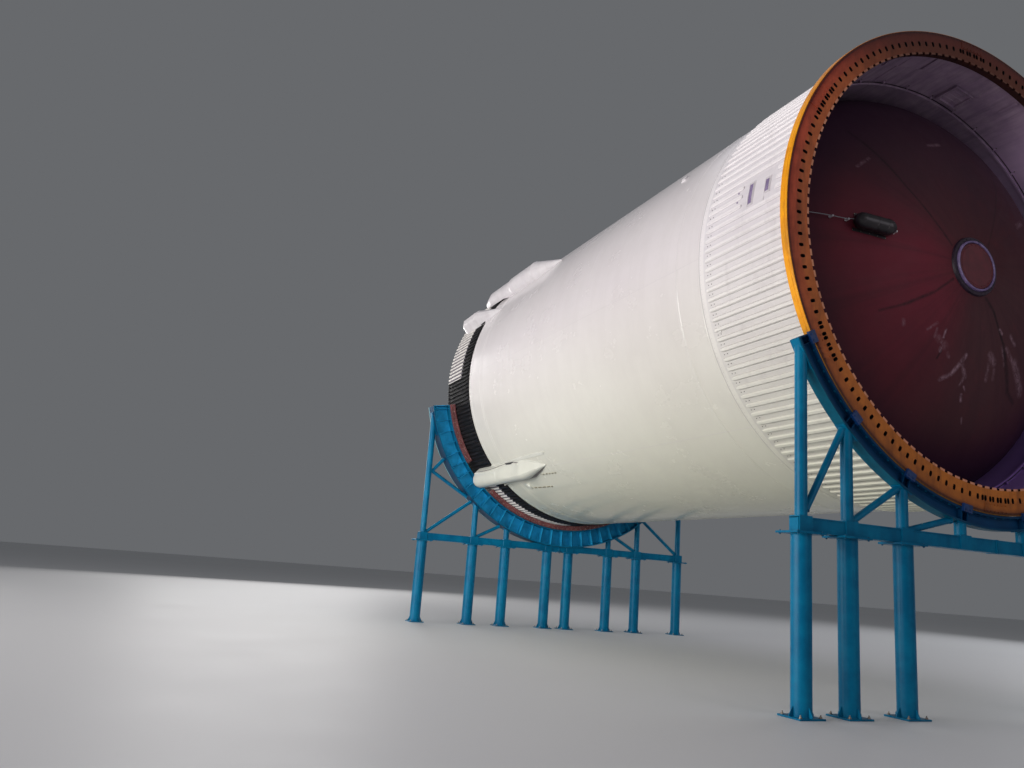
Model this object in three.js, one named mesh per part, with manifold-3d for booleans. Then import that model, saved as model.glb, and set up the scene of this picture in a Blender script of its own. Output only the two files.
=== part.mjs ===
// A rocket's second stage, full size, lying on two painted steel display cradles.
// Millimetres. +X is forward along the stage's axis, +Y its far side, +Z up, floor at z = 0.
// Stations (s) are counted aft from the front face of the forward handling ring.
import * as THREE from 'three';
import { mergeVertices } from 'three/addons/utils/BufferGeometryUtils.js';
import Module from 'manifold-3d';

const wasm = await Module();
wasm.setup();

// ---------- driving dimensions ----------
const GAP = 0.3;               // clearance between pieces that touch
const AXIS_Z = 9050;           // stage axis above the floor
const S_FOOT = -150;           // front edge of the front foot plates, the foremost point
const S_EXIT = 24380;          // nozzle exit planes, the aftmost point
const X_RING = (S_EXIT + S_FOOT) / 2;   // x of station 0, so that the whole is centred on x = 0

const R_TANK = 5030;
const SKIRT_WALL = 100;
const S_RING = 183;            // forward handling ring's depth
const R_RING = 5250, R_RING_IN = 4710;
const S_SKIRT = 3000;          // forward skirt's aft end
const S_TANK = 17110;          // tank barrel's aft end
const S_AFT = 19120;           // aft skirt's aft end
const S_AFT_RING = 19400;      // aft handling ring's aft face
const R_AFT_RING = 5075, R_AFT_RING_IN = 4760;
const DOME = { s: 2800, r: 4900, h: 2600, flatR: 640 };
const AFT_DOME = { s: 17000, r: 4780, h: 2800 };
const HATCH_R = 500, S_HATCH = 140;
const CONE = { s0: 17950, s1: 20700, r0: 4910, r1: 2850, wall: 60 };
const S_MOUNT = 20850;         // aft face of the engine mount frame
const S_GIMBAL = 21000;        // gimbal centres
const ENGINE_OFF = 1886;       // outer engines' axes, across and up
const S_SHIELD = 22150, SHIELD_R = 3500;
const R_EXIT = 1000;           // nozzle exit radius
const ACT_OFF = 600;           // actuator's lever arm about the gimbal

const R_GIRDER_IN = 5256.5;   // its facets' middles still clear the rings
const GIRDERS = {              // s0, s1: front and aft edges; rOut; half angle from the bottom; web and flange thickness
  front: { s0: 0, s1: 250, rOut: 5550, half: 63, step: 5.1, web: 30, flange: 40 },
  aft: { s0: 18650, s1: 19250, rOut: 5915, half: 79.7, step: 5.2, web: 40, flange: 40 },
};
const FRAMES = {
  // s: columns' station; cols: [y, has a lower column]; beam's top and bottom below the axis; beam's width along X;
  // braces: [end, column, end, column, rise of a 'top' end above the column's meeting with the girder]; struts: [y, z, y, z]
  front: { s: 125, cols: [[870, 0], [2390, 1], [3740, 1], [4800, 1]], beamTop: 5735, beamBot: 5990, beamW: 230, rOut: 5550, lowR: 178,
    braces: [['top', 2, 'beam', 3, 210], ['top', 1, 'beam', 2, 85], ['top', 0, 'beam', 1, 105]], struts: [] },
  aft: { s: 18950, cols: [[470, 1], [2280, 1], [3640, 1], [5660, 1]], beamTop: 5830, beamBot: 6085, beamW: 260, rOut: 5915, lowR: 190,
    braces: [['top', 2, 'beam', 3, 320], ['mid', 3, 'top', 2, 96], ['top', 1, 'beam', 2, 290]], struts: [[5660, -3660, 5030, -2917]] },
};
// The pads of the aft cradle, between the girder and the skirt, leaving the lower fairings' ends free.
// s0, s1, inner and outer radius; arcs: name, from and to as the girder's facets
const PAD = { s0: 18500, s1: 19300, rIn: 5081, rOut: R_GIRDER_IN - 0.7, arcs: [['near', 0, 5], ['bottom', 8, 23], ['far', 26, 31]] };
const COL_UP_R = 110, BRACE_R = 65, FOOT = 550, FOOT_T = 30, CAP = 660, CAP_T = 40;

// ---------- colours ----------
const C = { white: 0xe9e4ea, yellow: 0xe8961c, ringRed: 0x8a4a34, dome: 0x4a1418, hatch: 0x5a1c20, dark: 0x1d1416,
  inner: 0x9d8fa4, black: 0x111114, blue: 0x1f6f8f, steel: 0x8f8f94, nozzle: 0x5f5a58, green: 0x6d7256 };
const mat = (color, roughness, metalness) => new THREE.MeshStandardMaterial({ color, roughness, metalness });

// ---------- shape helpers ----------
// Body of revolution about the stage axis. profile: [s, r] pairs, outside with s rising, from axis to axis or closed.
function revolve(profile, segments) {
  const pts = profile.map(([s, r]) => new THREE.Vector2(r, s));
  if (profile[0][1] !== 0) pts.push(pts[0].clone());
  const g = new THREE.LatheGeometry(pts, segments);
  g.rotateZ(Math.PI / 2);
  return g;
}
const shell = (s0, s1, rIn, rOut, segments) => revolve([[s0, rOut], [s1, rOut], [s1, rIn], [s0, rIn]], segments);
const disc = (s0, s1, r, segments) => revolve([[s0, 0], [s0, r], [s1, r], [s1, 0]], segments);
function box(x0, x1, y0, y1, z0, z1) {
  const g = new THREE.BoxGeometry(x1 - x0, y1 - y0, z1 - z0);
  g.translate((x0 + x1) / 2, (y0 + y1) / 2, (z0 + z1) / 2);
  return g;
}
function rod(p, q, r, segments) {
  const a = new THREE.Vector3(...p), b = new THREE.Vector3(...q), d = b.clone().sub(a);
  const g = new THREE.CylinderGeometry(r, r, d.length(), segments);
  g.applyQuaternion(new THREE.Quaternion().setFromUnitVectors(new THREE.Vector3(0, 1, 0), d.clone().normalize()));
  g.translate(...a.clone().add(b).multiplyScalar(0.5).toArray());
  return g;
}
const polar = (r, deg) => {      // deg from the bottom, positive to +Y
  const a = THREE.MathUtils.degToRad(deg);
  return [r * Math.sin(a), -r * Math.cos(a)];
};
// Closed skin over rings of equal point count, both ends capped. cap: the section as 2-D points.
function skin(rings, cap) {
  const n = rings[0].length, pos = [], idx = [];
  rings.forEach((ring) => ring.forEach((p) => pos.push(...p)));
  for (let i = 0; i + 1 < rings.length; i++)
    for (let j = 0; j < n; j++) {
      const a = i * n + j, b = i * n + (j + 1) % n, c = a + n, d = b + n;
      idx.push(a, b, c, b, d, c);
    }
  const tris = THREE.ShapeUtils.triangulateShape(cap.map((p) => new THREE.Vector2(...p)), []);
  const last = (rings.length - 1) * n;
  // the walls' winding fixes the caps': each cap edge runs against the wall's edge there
  const ccw = THREE.ShapeUtils.area(cap.map((p) => new THREE.Vector2(...p))) > 0;
  for (const [a, b, c] of tris) {
    const t = ccw ? [a, b, c] : [c, b, a];
    idx.push(t[2], t[1], t[0], last + t[0], last + t[1], last + t[2]);
  }
  let g = new THREE.BufferGeometry();
  g.setAttribute('position', new THREE.Float32BufferAttribute(pos, 3));
  g.setIndex(idx);
  if (volume(g) < 0) {
    for (let i = 0; i < idx.length; i += 3) [idx[i], idx[i + 1]] = [idx[i + 1], idx[i]];
    g.setIndex(idx);
  }
  return g;
}
function volume(g) {
  const p = g.getAttribute('position'), ix = g.getIndex(), v = [0, 1, 2].map(() => new THREE.Vector3());
  let sum = 0;
  for (let i = 0; i < ix.count; i += 3) {
    v.forEach((w, k) => w.fromBufferAttribute(p, ix.getX(i + k)));
    sum += v[0].dot(v[1].clone().cross(v[2]));
  }
  return sum / 6;
}
// Section [s, r] swept about the stage axis from a0 to a1 degrees.
function arcSweep(section, a0, a1, steps) {
  const rings = [];
  for (let i = 0; i <= steps; i++) {
    const a = a0 + (a1 - a0) * i / steps;
    rings.push(section.map(([s, r]) => { const [y, z] = polar(r, a); return [-s, y, z]; }));
  }
  return skin(rings, section);
}
function toSolid(geometry) {
  let g = geometry.clone();
  g.deleteAttribute('normal');
  g.deleteAttribute('uv');
  g = mergeVertices(g, 1e-3);
  const solid = new wasm.Manifold(new wasm.Mesh({ numProp: 3, vertProperties: new Float32Array(g.getAttribute('position').array),
    triVerts: new Uint32Array(g.getIndex().array) }));
  return solid;
}
function toGeometry(solid) {
  const m = solid.getMesh(), g = new THREE.BufferGeometry();
  g.setAttribute('position', new THREE.BufferAttribute(new Float32Array(m.vertProperties), 3));
  g.setIndex(new THREE.BufferAttribute(new Uint32Array(m.triVerts), 1));
  g.computeVertexNormals();
  return g;
}
function carve(adds, cuts = []) {
  let s = toSolid(adds[0]);
  for (const a of adds.slice(1)) s = s.add(toSolid(a));
  for (const c of cuts) s = s.subtract(toSolid(c));
  return toGeometry(s);
}
// The radius whose polygon clears a true circle of radius r.
const around = (r, segments) => r / Math.cos(Math.PI / segments);

// ---------- the object ----------
const rocket = new THREE.Group();
const stage = new THREE.Group();
stage.position.set(X_RING, 0, AXIS_Z);
rocket.add(stage);
function piece(parent, name, geometry, material) {
  const m = new THREE.Mesh(geometry, material);
  m.name = name;
  parent.add(m);
  return m;
}

// Handling rings: bolted to the skirts' ends, held by the cradles.
piece(stage, 'forward_handling_ring', shell(0, S_RING, R_RING_IN, R_RING, 60), mat(C.yellow, 0.5, 0.1));
piece(stage, 'aft_handling_ring', shell(S_AFT + GAP, S_AFT_RING, R_AFT_RING_IN, R_AFT_RING, 60), mat(C.ringRed, 0.6, 0.1));

// Skirts: shells with ring frames inside. Frames: [station, inner radius].
const FWD_FRAMES = [[1600, 4850]];
const AFT_FRAMES = [];
function skirt(s0, s1, frames, segments) {
  const p = [[s0, R_TANK], [s1, R_TANK], [s1, R_TANK - SKIRT_WALL]];
  for (const [s, r] of [...frames].reverse()) p.push([s + 30, R_TANK - SKIRT_WALL], [s + 30, r], [s - 30, r], [s - 30, R_TANK - SKIRT_WALL]);
  p.push([s0, R_TANK - SKIRT_WALL]);
  return revolve(p, segments);
}
piece(stage, 'forward_skirt', skirt(S_RING + GAP, S_SKIRT, FWD_FRAMES, 48), mat(C.white, 0.35, 0));
piece(stage, 'aft_skirt', skirt(S_TANK + GAP, S_AFT, AFT_FRAMES, 48), mat(C.black, 0.4, 0));

// Tank: closed barrel and its two domes.
piece(stage, 'tank_barrel', disc(S_SKIRT + GAP, S_TANK, R_TANK, 48), mat(C.white, 0.25, 0));
const domeR = (d, s) => d.r * Math.sqrt(Math.max(0, 1 - ((s - d.s) / d.h) ** 2));
const S_DOME_FLAT = DOME.s - DOME.h * Math.sqrt(1 - (DOME.flatR / DOME.r) ** 2);
const DOME_STEPS = [0, 0.05, 0.15, 0.3, 0.5, 0.75, 1];   // shares of the dome's depth
// The dome's outline from its crown to the skirt's aft end, set back by d.
const domeOutline = (d) => [[S_DOME_FLAT - d, 0], ...DOME_STEPS.map((t) => {
  const s = S_DOME_FLAT + (DOME.s - S_DOME_FLAT) * t;
  return [s - d, domeR(DOME, s) + d];
}), [S_SKIRT, DOME.r + d], [S_SKIRT, 0]];
const forwardDome = () => revolve(domeOutline(0), 48);
piece(stage, 'forward_dome', forwardDome(), mat(C.dome, 0.4, 0.1));
function aftDome() {
  const p = [[S_TANK + GAP, 0]], s1 = AFT_DOME.s + AFT_DOME.h;
  for (const t of [0, 0.3, 0.57, 0.8, 0.95, 1]) {
    const s = S_TANK + GAP + (s1 - S_TANK - GAP) * t;
    p.push([s, t === 1 ? 0 : domeR(AFT_DOME, s)]);
  }
  return revolve(p, 32);
}
piece(stage, 'aft_dome', aftDome(), mat(C.steel, 0.5, 0.5));

// Manhole in the dome's crown: a cover inside its rim.
piece(stage, 'dome_hatch_cover', disc(S_HATCH, S_DOME_FLAT - GAP, HATCH_R, 32), mat(C.hatch, 0.45, 0.1));
piece(stage, 'dome_hatch_rim', shell(S_HATCH - 12, S_DOME_FLAT - GAP, HATCH_R + 8, HATCH_R + 60, 32), mat(C.inner, 0.4, 0.2));

// Vent canister on the dome: a round-ended can half sunk in the surface, lying along a radius and sloping with the dome.
const VENT = { s: 460, at: 2580, deg: -100, len: 880, r: 170, slope: 0.33 };
function vent() {
  const h = VENT.len / 2 - 90, c = 1 / Math.hypot(1, VENT.slope);
  const at = (t) => { const [y, z] = polar(VENT.at + t * c, VENT.deg); return [-(VENT.s + VENT.slope * t * c), y, z]; };
  return [rod(at(-h), at(h), VENT.r, 14), ...[-1, 1].flatMap((k) => [[50, 0.87], [90, 0.5]].map(([d, q]) => rod(at(k * (h - 60)), at(k * (h + d)), VENT.r * q, 14)))];
}
piece(stage, 'dome_vent', carve(vent(), [revolve(domeOutline(6), 48)]), mat(C.dark, 0.4, 0.3));

// Access frame: a raised box frame on the skirt's inner wall, ahead of the ring frame.
piece(stage, 'skirt_access_frame', carve(
  [arcSweep([[870, 4914], [1450, 4914], [1450, 4850], [870, 4850]], 166, 173.2, 2)],
  [arcSweep([[930, 4960], [1390, 4960], [1390, 4800], [930, 4800]], 166.8, 172.4, 2)]), mat(C.inner, 0.5, 0.1));

// Line fairings on the outside: half-round pods, pointed forward and blunt aft.
// Each kind: angle from the bottom, half width, height, and sections: station, share of the width and of the height.
const FAIRINGS = {
  line_fairing_lower: [45.3, 355, 500, [[13100, 0.08, 0.05], [13850, 0.54, 0.435], [14600, 1, 0.82], [16500, 1, 0.88], [18300, 1, 1], [18480, 1, 1], [18560, 0.92, 0.97]]],
  line_fairing_upper: [130, 380, 470, [[12300, 0.08, 0.05], [13100, 0.54, 0.525], [13900, 1, 1], [15800, 1, 1], [15850, 0.93, 0.92], [17700, 0.93, 0.92], [18250, 0.75, 0.62], [18400, 0.5, 0.35]]],
  short_fairing: [118, 340, 450, [[15900, 0.08, 0.05], [16800, 0.54, 0.525], [17700, 1, 1], [18900, 1, 0.95], [19080, 0.85, 0.75]]],
};
function fairing(deg, w, h, sections) {
  const BASE = 5, TOP = 7, rBase = R_TANK + 2;
  const rings = sections.map(([s, kw, kh]) => {
    const half = THREE.MathUtils.radToDeg(w * kw / rBase), ring = [];
    for (let i = 0; i <= BASE; i++) ring.push([rBase, -half + 2 * half * i / BASE]);
    for (let i = 1; i < TOP; i++) {
      const a = Math.PI * i / TOP;
      ring.push([rBase + h * kh * Math.sin(a) ** 0.9, half * Math.cos(a) * 0.999]);
    }
    return ring.map(([r, d]) => { const [y, z] = polar(r, deg + d); return [-s, y, z]; });
  });
  const half = THREE.MathUtils.radToDeg(w / rBase), cap = [];
  for (let i = 0; i <= BASE; i++) cap.push([-half + 2 * half * i / BASE, 0]);
  for (let i = 1; i < TOP; i++) { const a = Math.PI * i / TOP; cap.push([half * Math.cos(a) * 0.999, 5 * Math.sin(a) ** 0.9]); }
  return skin(rings, cap);
}
for (const [kind, [deg, w, h, sections]] of Object.entries(FAIRINGS))
  for (const [side, k] of [['near', -1], ['far', 1]]) piece(stage, `${kind}_${side}`, fairing(k * deg, w, h, sections), mat(C.white, 0.3, 0));

// Thrust structure: cone, engine mount frame with its cross beams, and the base heat shield on its posts.
piece(stage, 'thrust_cone', revolve([
  [CONE.s0, CONE.r0], [CONE.s1, CONE.r1 + 60], [CONE.s1, CONE.r1 - 160], [CONE.s1 - 80, CONE.r1 - 160], [CONE.s1 - 80, CONE.r1], [CONE.s0, CONE.r0 - CONE.wall - 20]], 36),
  mat(C.green, 0.6, 0.2));
const ENGINES = [['1', 1, 1], ['2', 1, -1], ['3', -1, -1], ['4', -1, 1]];   // name, side of Y, side of Z
const LUG = 60, LUG_IN = 100, LUG_R = 31, PIN_R = 28;
function mountFrame() {
  const adds = [shell(CONE.s1 + GAP, S_MOUNT, 2350, 2980, 28), disc(CONE.s1 + GAP, S_MOUNT, 420, 12)];
  for (const a of [45, 135]) {
    const b = box(-S_MOUNT, -CONE.s1 - GAP, -2700, 2700, -150, 150);
    b.rotateX(THREE.MathUtils.degToRad(a));
    adds.push(b);
  }
  const cuts = [];
  for (const [, ys, zs] of ENGINES) {
    const y = ys * ENGINE_OFF, z = zs * ENGINE_OFF;
    adds.push(box(-S_MOUNT, -CONE.s1 - GAP, y - 260, y + 260, z - 260, z + 260));
    for (const k of [-1, 1]) {
      const y0 = y + k * (LUG_IN + LUG / 2);
      adds.push(box(-S_GIMBAL - 45, -S_MOUNT + 10, y0 - LUG / 2, y0 + LUG / 2, z - 45, z + 45));
    }
    cuts.push(rod([-S_GIMBAL, y - 200, z], [-S_GIMBAL, y + 200, z], LUG_R, 12));
    // outriggers for the two actuators
    adds.push(box(-S_MOUNT, -CONE.s1 - GAP, y - 140, y + 140, Math.min(zs * 2100, zs * (ENGINE_OFF + ACT_OFF + 140)), Math.max(zs * 2100, zs * (ENGINE_OFF + ACT_OFF + 140))));
    adds.push(box(-S_MOUNT, -CONE.s1 - GAP, Math.min(ys * 2100, ys * (ENGINE_OFF + ACT_OFF + 140)), Math.max(ys * 2100, ys * (ENGINE_OFF + ACT_OFF + 140)), z - 140, z + 140));
  }
  return carve(adds, cuts);
}
piece(stage, 'engine_mount_frame', mountFrame(), mat(C.green, 0.6, 0.2));
function heatShield() {
  const adds = [disc(S_SHIELD, S_SHIELD + 40, SHIELD_R, 32)];
  for (const q of [0, 90, 180, 270]) for (const d of [-12, 12]) {
    const [y, z] = polar(2880, q + d);
    adds.push(rod([-S_MOUNT - GAP, y, z], [-S_SHIELD - 20, y, z], 55, 6));
  }
  const cuts = [disc(S_SHIELD - 100, S_SHIELD + 100, 440, 16)];
  for (const [, ys, zs] of ENGINES) {
    const c = disc(S_SHIELD - 100, S_SHIELD + 100, 640, 16);
    c.translate(0, ys * ENGINE_OFF, zs * ENGINE_OFF);
    cuts.push(c);
  }
  return carve(adds, cuts);
}
piece(stage, 'base_heat_shield', heatShield(), mat(C.steel, 0.6, 0.3));

// Engines. Local frame: gimbal centre at the origin, -x aft (stations e counted aft from the gimbal).
const EXIT = S_EXIT - S_GIMBAL;
const BELL = [[1010, 205], [1300, 420], [1800, 710], [2450, 900], [EXIT, R_EXIT]];   // station e, outer radius
function bell() {
  const out = BELL, inn = BELL.map(([s, r]) => [s, r - 35]).reverse();
  return revolve([...out, ...inn], 22);
}
function engineBody(gimballed, ys = 1, zs = 1) {
  const adds = [revolve([[150, 0], [150, 200], [210, 200], [220, 130], [330, 130], [420, 340], [640, 350], [820, 200], [1009.7, 170], [1009.7, 0]], 12)];
  // turbopumps on the two sides away from the actuators, each on a duct from the injector: [y, z, radius, from, to]
  for (const [y, z, r, a, b] of [[-ys * 480, 0, 150, 300, 880], [0, -zs * 470, 130, 340, 860]])
    adds.push(rod([-a, y, z], [-b, y, z], r, 10), rod([-520, y, z], [-520, 0, 0], 60, 6));
  const cuts = [];
  if (gimballed) {
    for (const k of [-1, 1]) {
      const z0 = k * (LUG_IN + LUG / 2);
      adds.push(box(-170, 45, -40, 40, z0 - LUG / 2, z0 + LUG / 2));
    }
    cuts.push(rod([0, 0, -200], [0, 0, 200], LUG_R, 12));
  } else {
    adds.push(rod([S_GIMBAL - S_MOUNT - GAP, 0, 0], [-170, 0, 0], 110, 10));
  }
  return [adds, cuts];
}
const dark = () => mat(C.nozzle, 0.45, 0.6);
const centre = new THREE.Group();
centre.position.set(-S_GIMBAL, 0, 0);
stage.add(centre);
piece(centre, 'centre_engine_body', carve(...engineBody(false)), dark());
piece(centre, 'centre_engine_bell', bell(), dark());

const PAD_E = 695, PAD_T = 60, PAD_R = 80;
for (const [name, ys, zs] of ENGINES) {
  const g = new THREE.Group();
  g.position.set(-S_GIMBAL, ys * ENGINE_OFF, zs * ENGINE_OFF);
  stage.add(g);
  // gimbal cross: block with pins along Y into the frame's lugs and along Z into the engine's
  piece(g, `engine_${name}_gimbal`, carve([box(-48, 48, -94, 94, -94, 94), rod([0, -156, 0], [0, 156, 0], PIN_R, 8), rod([0, 0, -156], [0, 0, 156], PIN_R, 8)]), mat(C.steel, 0.4, 0.6));
  const [adds, cuts] = engineBody(true, ys, zs);
  // pads that the actuators' rods push on, each on an arm from the injector
  for (const [y, z] of [[0, zs * ACT_OFF], [ys * ACT_OFF, 0]]) {
    adds.push(rod([-PAD_E, y, z], [-PAD_E - PAD_T, y, z], PAD_R, 10));
    adds.push(rod([-PAD_E - PAD_T / 2, y, z], [-PAD_E - PAD_T / 2, 0, 0], 28, 6));
  }
  piece(g, `engine_${name}_body`, carve(adds, cuts), dark());
  piece(g, `engine_${name}_bell`, bell(), dark());
  // actuators: two cylinders joined by their bracket, fixed to the mount frame, and a rod in each
  const at = [[0, zs * ACT_OFF], [ys * ACT_OFF, 0]], e0 = S_MOUNT + GAP - S_GIMBAL;
  const cyl = at.map(([y, z]) => rod([-e0, y, z], [-350, y, z], 100, 10));
  const link = rod([-e0 - 60, ...at[0]], [-e0 - 60, ...at[1]], 35, 6);
  const bores = at.map(([y, z]) => rod([0, y, z], [-400, y, z], 52, 10));
  piece(g, `engine_${name}_actuators`, carve([...cyl, link], bores), mat(C.steel, 0.4, 0.5));
  at.forEach(([y, z], i) => {
    const r = revolve([[150, 0], [150, 42], [560, 42], [585, 60], [640, 55], [655, 30], [655, 0]], 8);
    r.translate(0, y, z);
    piece(g, `engine_${name}_rod_${i ? 'yaw' : 'pitch'}`, r, mat(C.steel, 0.2, 0.8));
  });
}

// ---------- cradles ----------
const cradle = new THREE.Group();
cradle.position.copy(stage.position);
rocket.add(cradle);
const blue = () => mat(C.blue, 0.4, 0.1);
function saddle(G, clampAngles, ribAngles) {
  const { s0, s1, rOut, half, web, flange } = G, m = (s0 + s1) / 2, ri = R_GIRDER_IN;
  const section = [[s0, ri], [s1, ri], [s1, ri + flange], [m + web / 2, ri + flange], [m + web / 2, rOut - flange], [s1, rOut - flange],
    [s1, rOut], [s0, rOut], [s0, rOut - flange], [m - web / 2, rOut - flange], [m - web / 2, ri + flange], [s0, ri + flange]];
  const adds = [arcSweep(section, -half, half, Math.round(2 * half / G.step))];
  for (const a of ribAngles) adds.push(arcSweep([[s0 + 10, ri + 10], [s1 - 10, ri + 10], [s1 - 10, rOut - 10], [s0 + 10, rOut - 10]], a - 0.16, a + 0.16, 1));
  for (const a of clampAngles)
    adds.push(arcSweep([[-60, 5140], [-0.6, 5140], [-0.6, ri], [60, ri + 6], [60, ri + 150], [-60, ri + 150]], a - 1.3, a + 1.3, 1));
  return carve(adds);
}
const colAngles = (F) => F.cols.flatMap(([y]) => [-1, 1].map((k) => k * THREE.MathUtils.radToDeg(Math.asin(y / (F.rOut - 120)))));
piece(cradle, 'front_saddle', saddle(GIRDERS.front, colAngles(FRAMES.front), []), blue());
piece(cradle, 'aft_saddle', saddle(GIRDERS.aft, [], colAngles(FRAMES.aft)), blue());
const AFT_HALF = GIRDERS.aft.half, AFT_FACETS = Math.round(2 * AFT_HALF / GIRDERS.aft.step);
for (const [name, k0, k1] of PAD.arcs) {
  const [a0, a1] = [k0, k1].map((k) => -AFT_HALF + 2 * AFT_HALF * k / AFT_FACETS);
  piece(cradle, `aft_pad_${name}`, arcSweep([[PAD.s0, PAD.rIn], [PAD.s1, PAD.rIn], [PAD.s1, PAD.rOut], [PAD.s0, PAD.rOut]], a0, a1, k1 - k0), mat(C.ringRed, 0.6, 0.1));
}

// One side of a cradle's frame: upper columns, beam, braces, lower columns and foot plates.
function halfFrame(F, side) {
  const x = -F.s, { beamTop: bt, beamBot: bb, beamW: bw } = F, adds = [];
  const top = F.cols.map(([y]) => -Math.sqrt(F.rOut ** 2 - y ** 2));
  const yEnd = F.cols[3][0] + 230, y0 = 5;   // 10 mm joint between the halves
  const lo = (a, b) => [Math.min(side * a, side * b), Math.max(side * a, side * b)];
  // I-beam along Y
  adds.push(box(x - bw / 2, x + bw / 2, ...lo(y0, yEnd), -bt - 30, -bt), box(x - bw / 2, x + bw / 2, ...lo(y0, yEnd), -bb, -bb + 30),
    box(x - 15, x + 15, ...lo(y0, yEnd), -bb + 5, -bt - 5));
  F.cols.forEach(([y, lower], i) => {
    adds.push(rod([x, side * y, -bt - 8], [x, side * y, top[i] + 300], COL_UP_R, 10));
    adds.push(box(x - bw / 2 + 4, x + bw / 2 - 4, ...lo(y - 115, y + 115), -bb + 6, -bt - 6));
    if (lower) {
      adds.push(box(x - FOOT / 2, x + FOOT / 2, ...lo(y - CAP / 2, y + CAP / 2), -bb - CAP_T, -bb + 4));
      adds.push(rod([x, side * y, -bb - CAP_T + 6], [x, side * y, -AXIS_Z + FOOT_T - 6], F.lowR, 12));
      adds.push(box(x - FOOT / 2, x + FOOT / 2, ...lo(y - FOOT / 2, y + FOOT / 2), -AXIS_Z, -AXIS_Z + FOOT_T));
    }
  });
  const point = (where, i, rise) => [x, side * F.cols[i][0], where === 'top' ? top[i] + rise : where === 'mid' ? (top[i] - bt) / 2 + 330 : -bt - 40];
  for (const [w0, i0, w1, i1, rise] of F.braces) adds.push(rod(point(w0, i0, rise), point(w1, i1, rise), BRACE_R, 6));
  for (const [ya, za, yb, zb] of F.struts) adds.push(rod([x, side * ya, za], [x, side * yb, zb], BRACE_R, 6));
  const R = around(F.rOut + 1, 72);
  return carve(adds, [disc(F.s - 1500, F.s + 1500, R, 72)]);
}
for (const [end, F] of Object.entries(FRAMES))
  for (const [side, k] of [['near', -1], ['far', 1]]) piece(cradle, `${end}_frame_${side}`, halfFrame(F, k), blue());

export default rocket;
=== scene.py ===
import math
import random

import bmesh
import bpy
import numpy as np
from mathutils import Matrix, Vector


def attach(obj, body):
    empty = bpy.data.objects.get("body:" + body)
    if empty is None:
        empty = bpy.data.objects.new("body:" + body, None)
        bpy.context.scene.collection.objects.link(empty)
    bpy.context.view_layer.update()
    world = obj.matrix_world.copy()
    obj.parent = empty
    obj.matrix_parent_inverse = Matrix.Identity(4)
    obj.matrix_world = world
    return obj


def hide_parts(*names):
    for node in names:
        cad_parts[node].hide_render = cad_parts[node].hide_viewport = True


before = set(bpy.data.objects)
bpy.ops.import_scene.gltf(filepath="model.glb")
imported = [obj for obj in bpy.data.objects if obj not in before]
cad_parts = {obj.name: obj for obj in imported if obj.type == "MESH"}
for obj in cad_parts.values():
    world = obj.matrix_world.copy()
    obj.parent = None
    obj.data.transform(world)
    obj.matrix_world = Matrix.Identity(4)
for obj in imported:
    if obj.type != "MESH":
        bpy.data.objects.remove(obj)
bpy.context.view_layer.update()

# Stations s are metres aft of the forward ring's front face; angles are degrees from the bottom, positive to +Y.
XR, AZ = 12.115, 9.05
rad = math.radians
TANK_R = 5.03


def lin(r, g, b):
    """Linear colour from 0-255 display values."""
    f = lambda c: (c / 255 / 12.92) if c / 255 <= 0.04045 else ((c / 255 + 0.055) / 1.055) ** 2.4
    return (f(r), f(g), f(b), 1.0)


def P(s, deg, r, yc=0.0, zc=0.0):
    """Points at station s, angle deg and radius r about an axis parallel to the stage's."""
    s, deg, r = np.broadcast_arrays(np.asarray(s, float), np.asarray(deg, float), np.asarray(r, float))
    a = np.radians(deg)
    return np.stack([XR - s, yc + r * np.sin(a), AZ + zc - r * np.cos(a)], -1)


# ------------------------------------------------------------------ camera
fwd = Vector((-0.89880, 0.37881, 0.22062))
right = Vector((0.40282, 0.91222, 0.07476))
fwd.normalize()
right = (right - fwd * right.dot(fwd)).normalized()
up = right.cross(fwd)
cam = bpy.data.objects.new("camera", bpy.data.cameras.new("camera"))
cam.matrix_world = Matrix(((right.x, up.x, -fwd.x, 23.476), (right.y, up.y, -fwd.y, -15.298), (right.z, up.z, -fwd.z, 1.976), (0, 0, 0, 1)))
cam.data.sensor_width = 36
cam.data.lens = 835.3 / 1024 * 36
cam.data.clip_end = 2000
bpy.context.scene.collection.objects.link(cam)
bpy.context.scene.camera = cam


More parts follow.
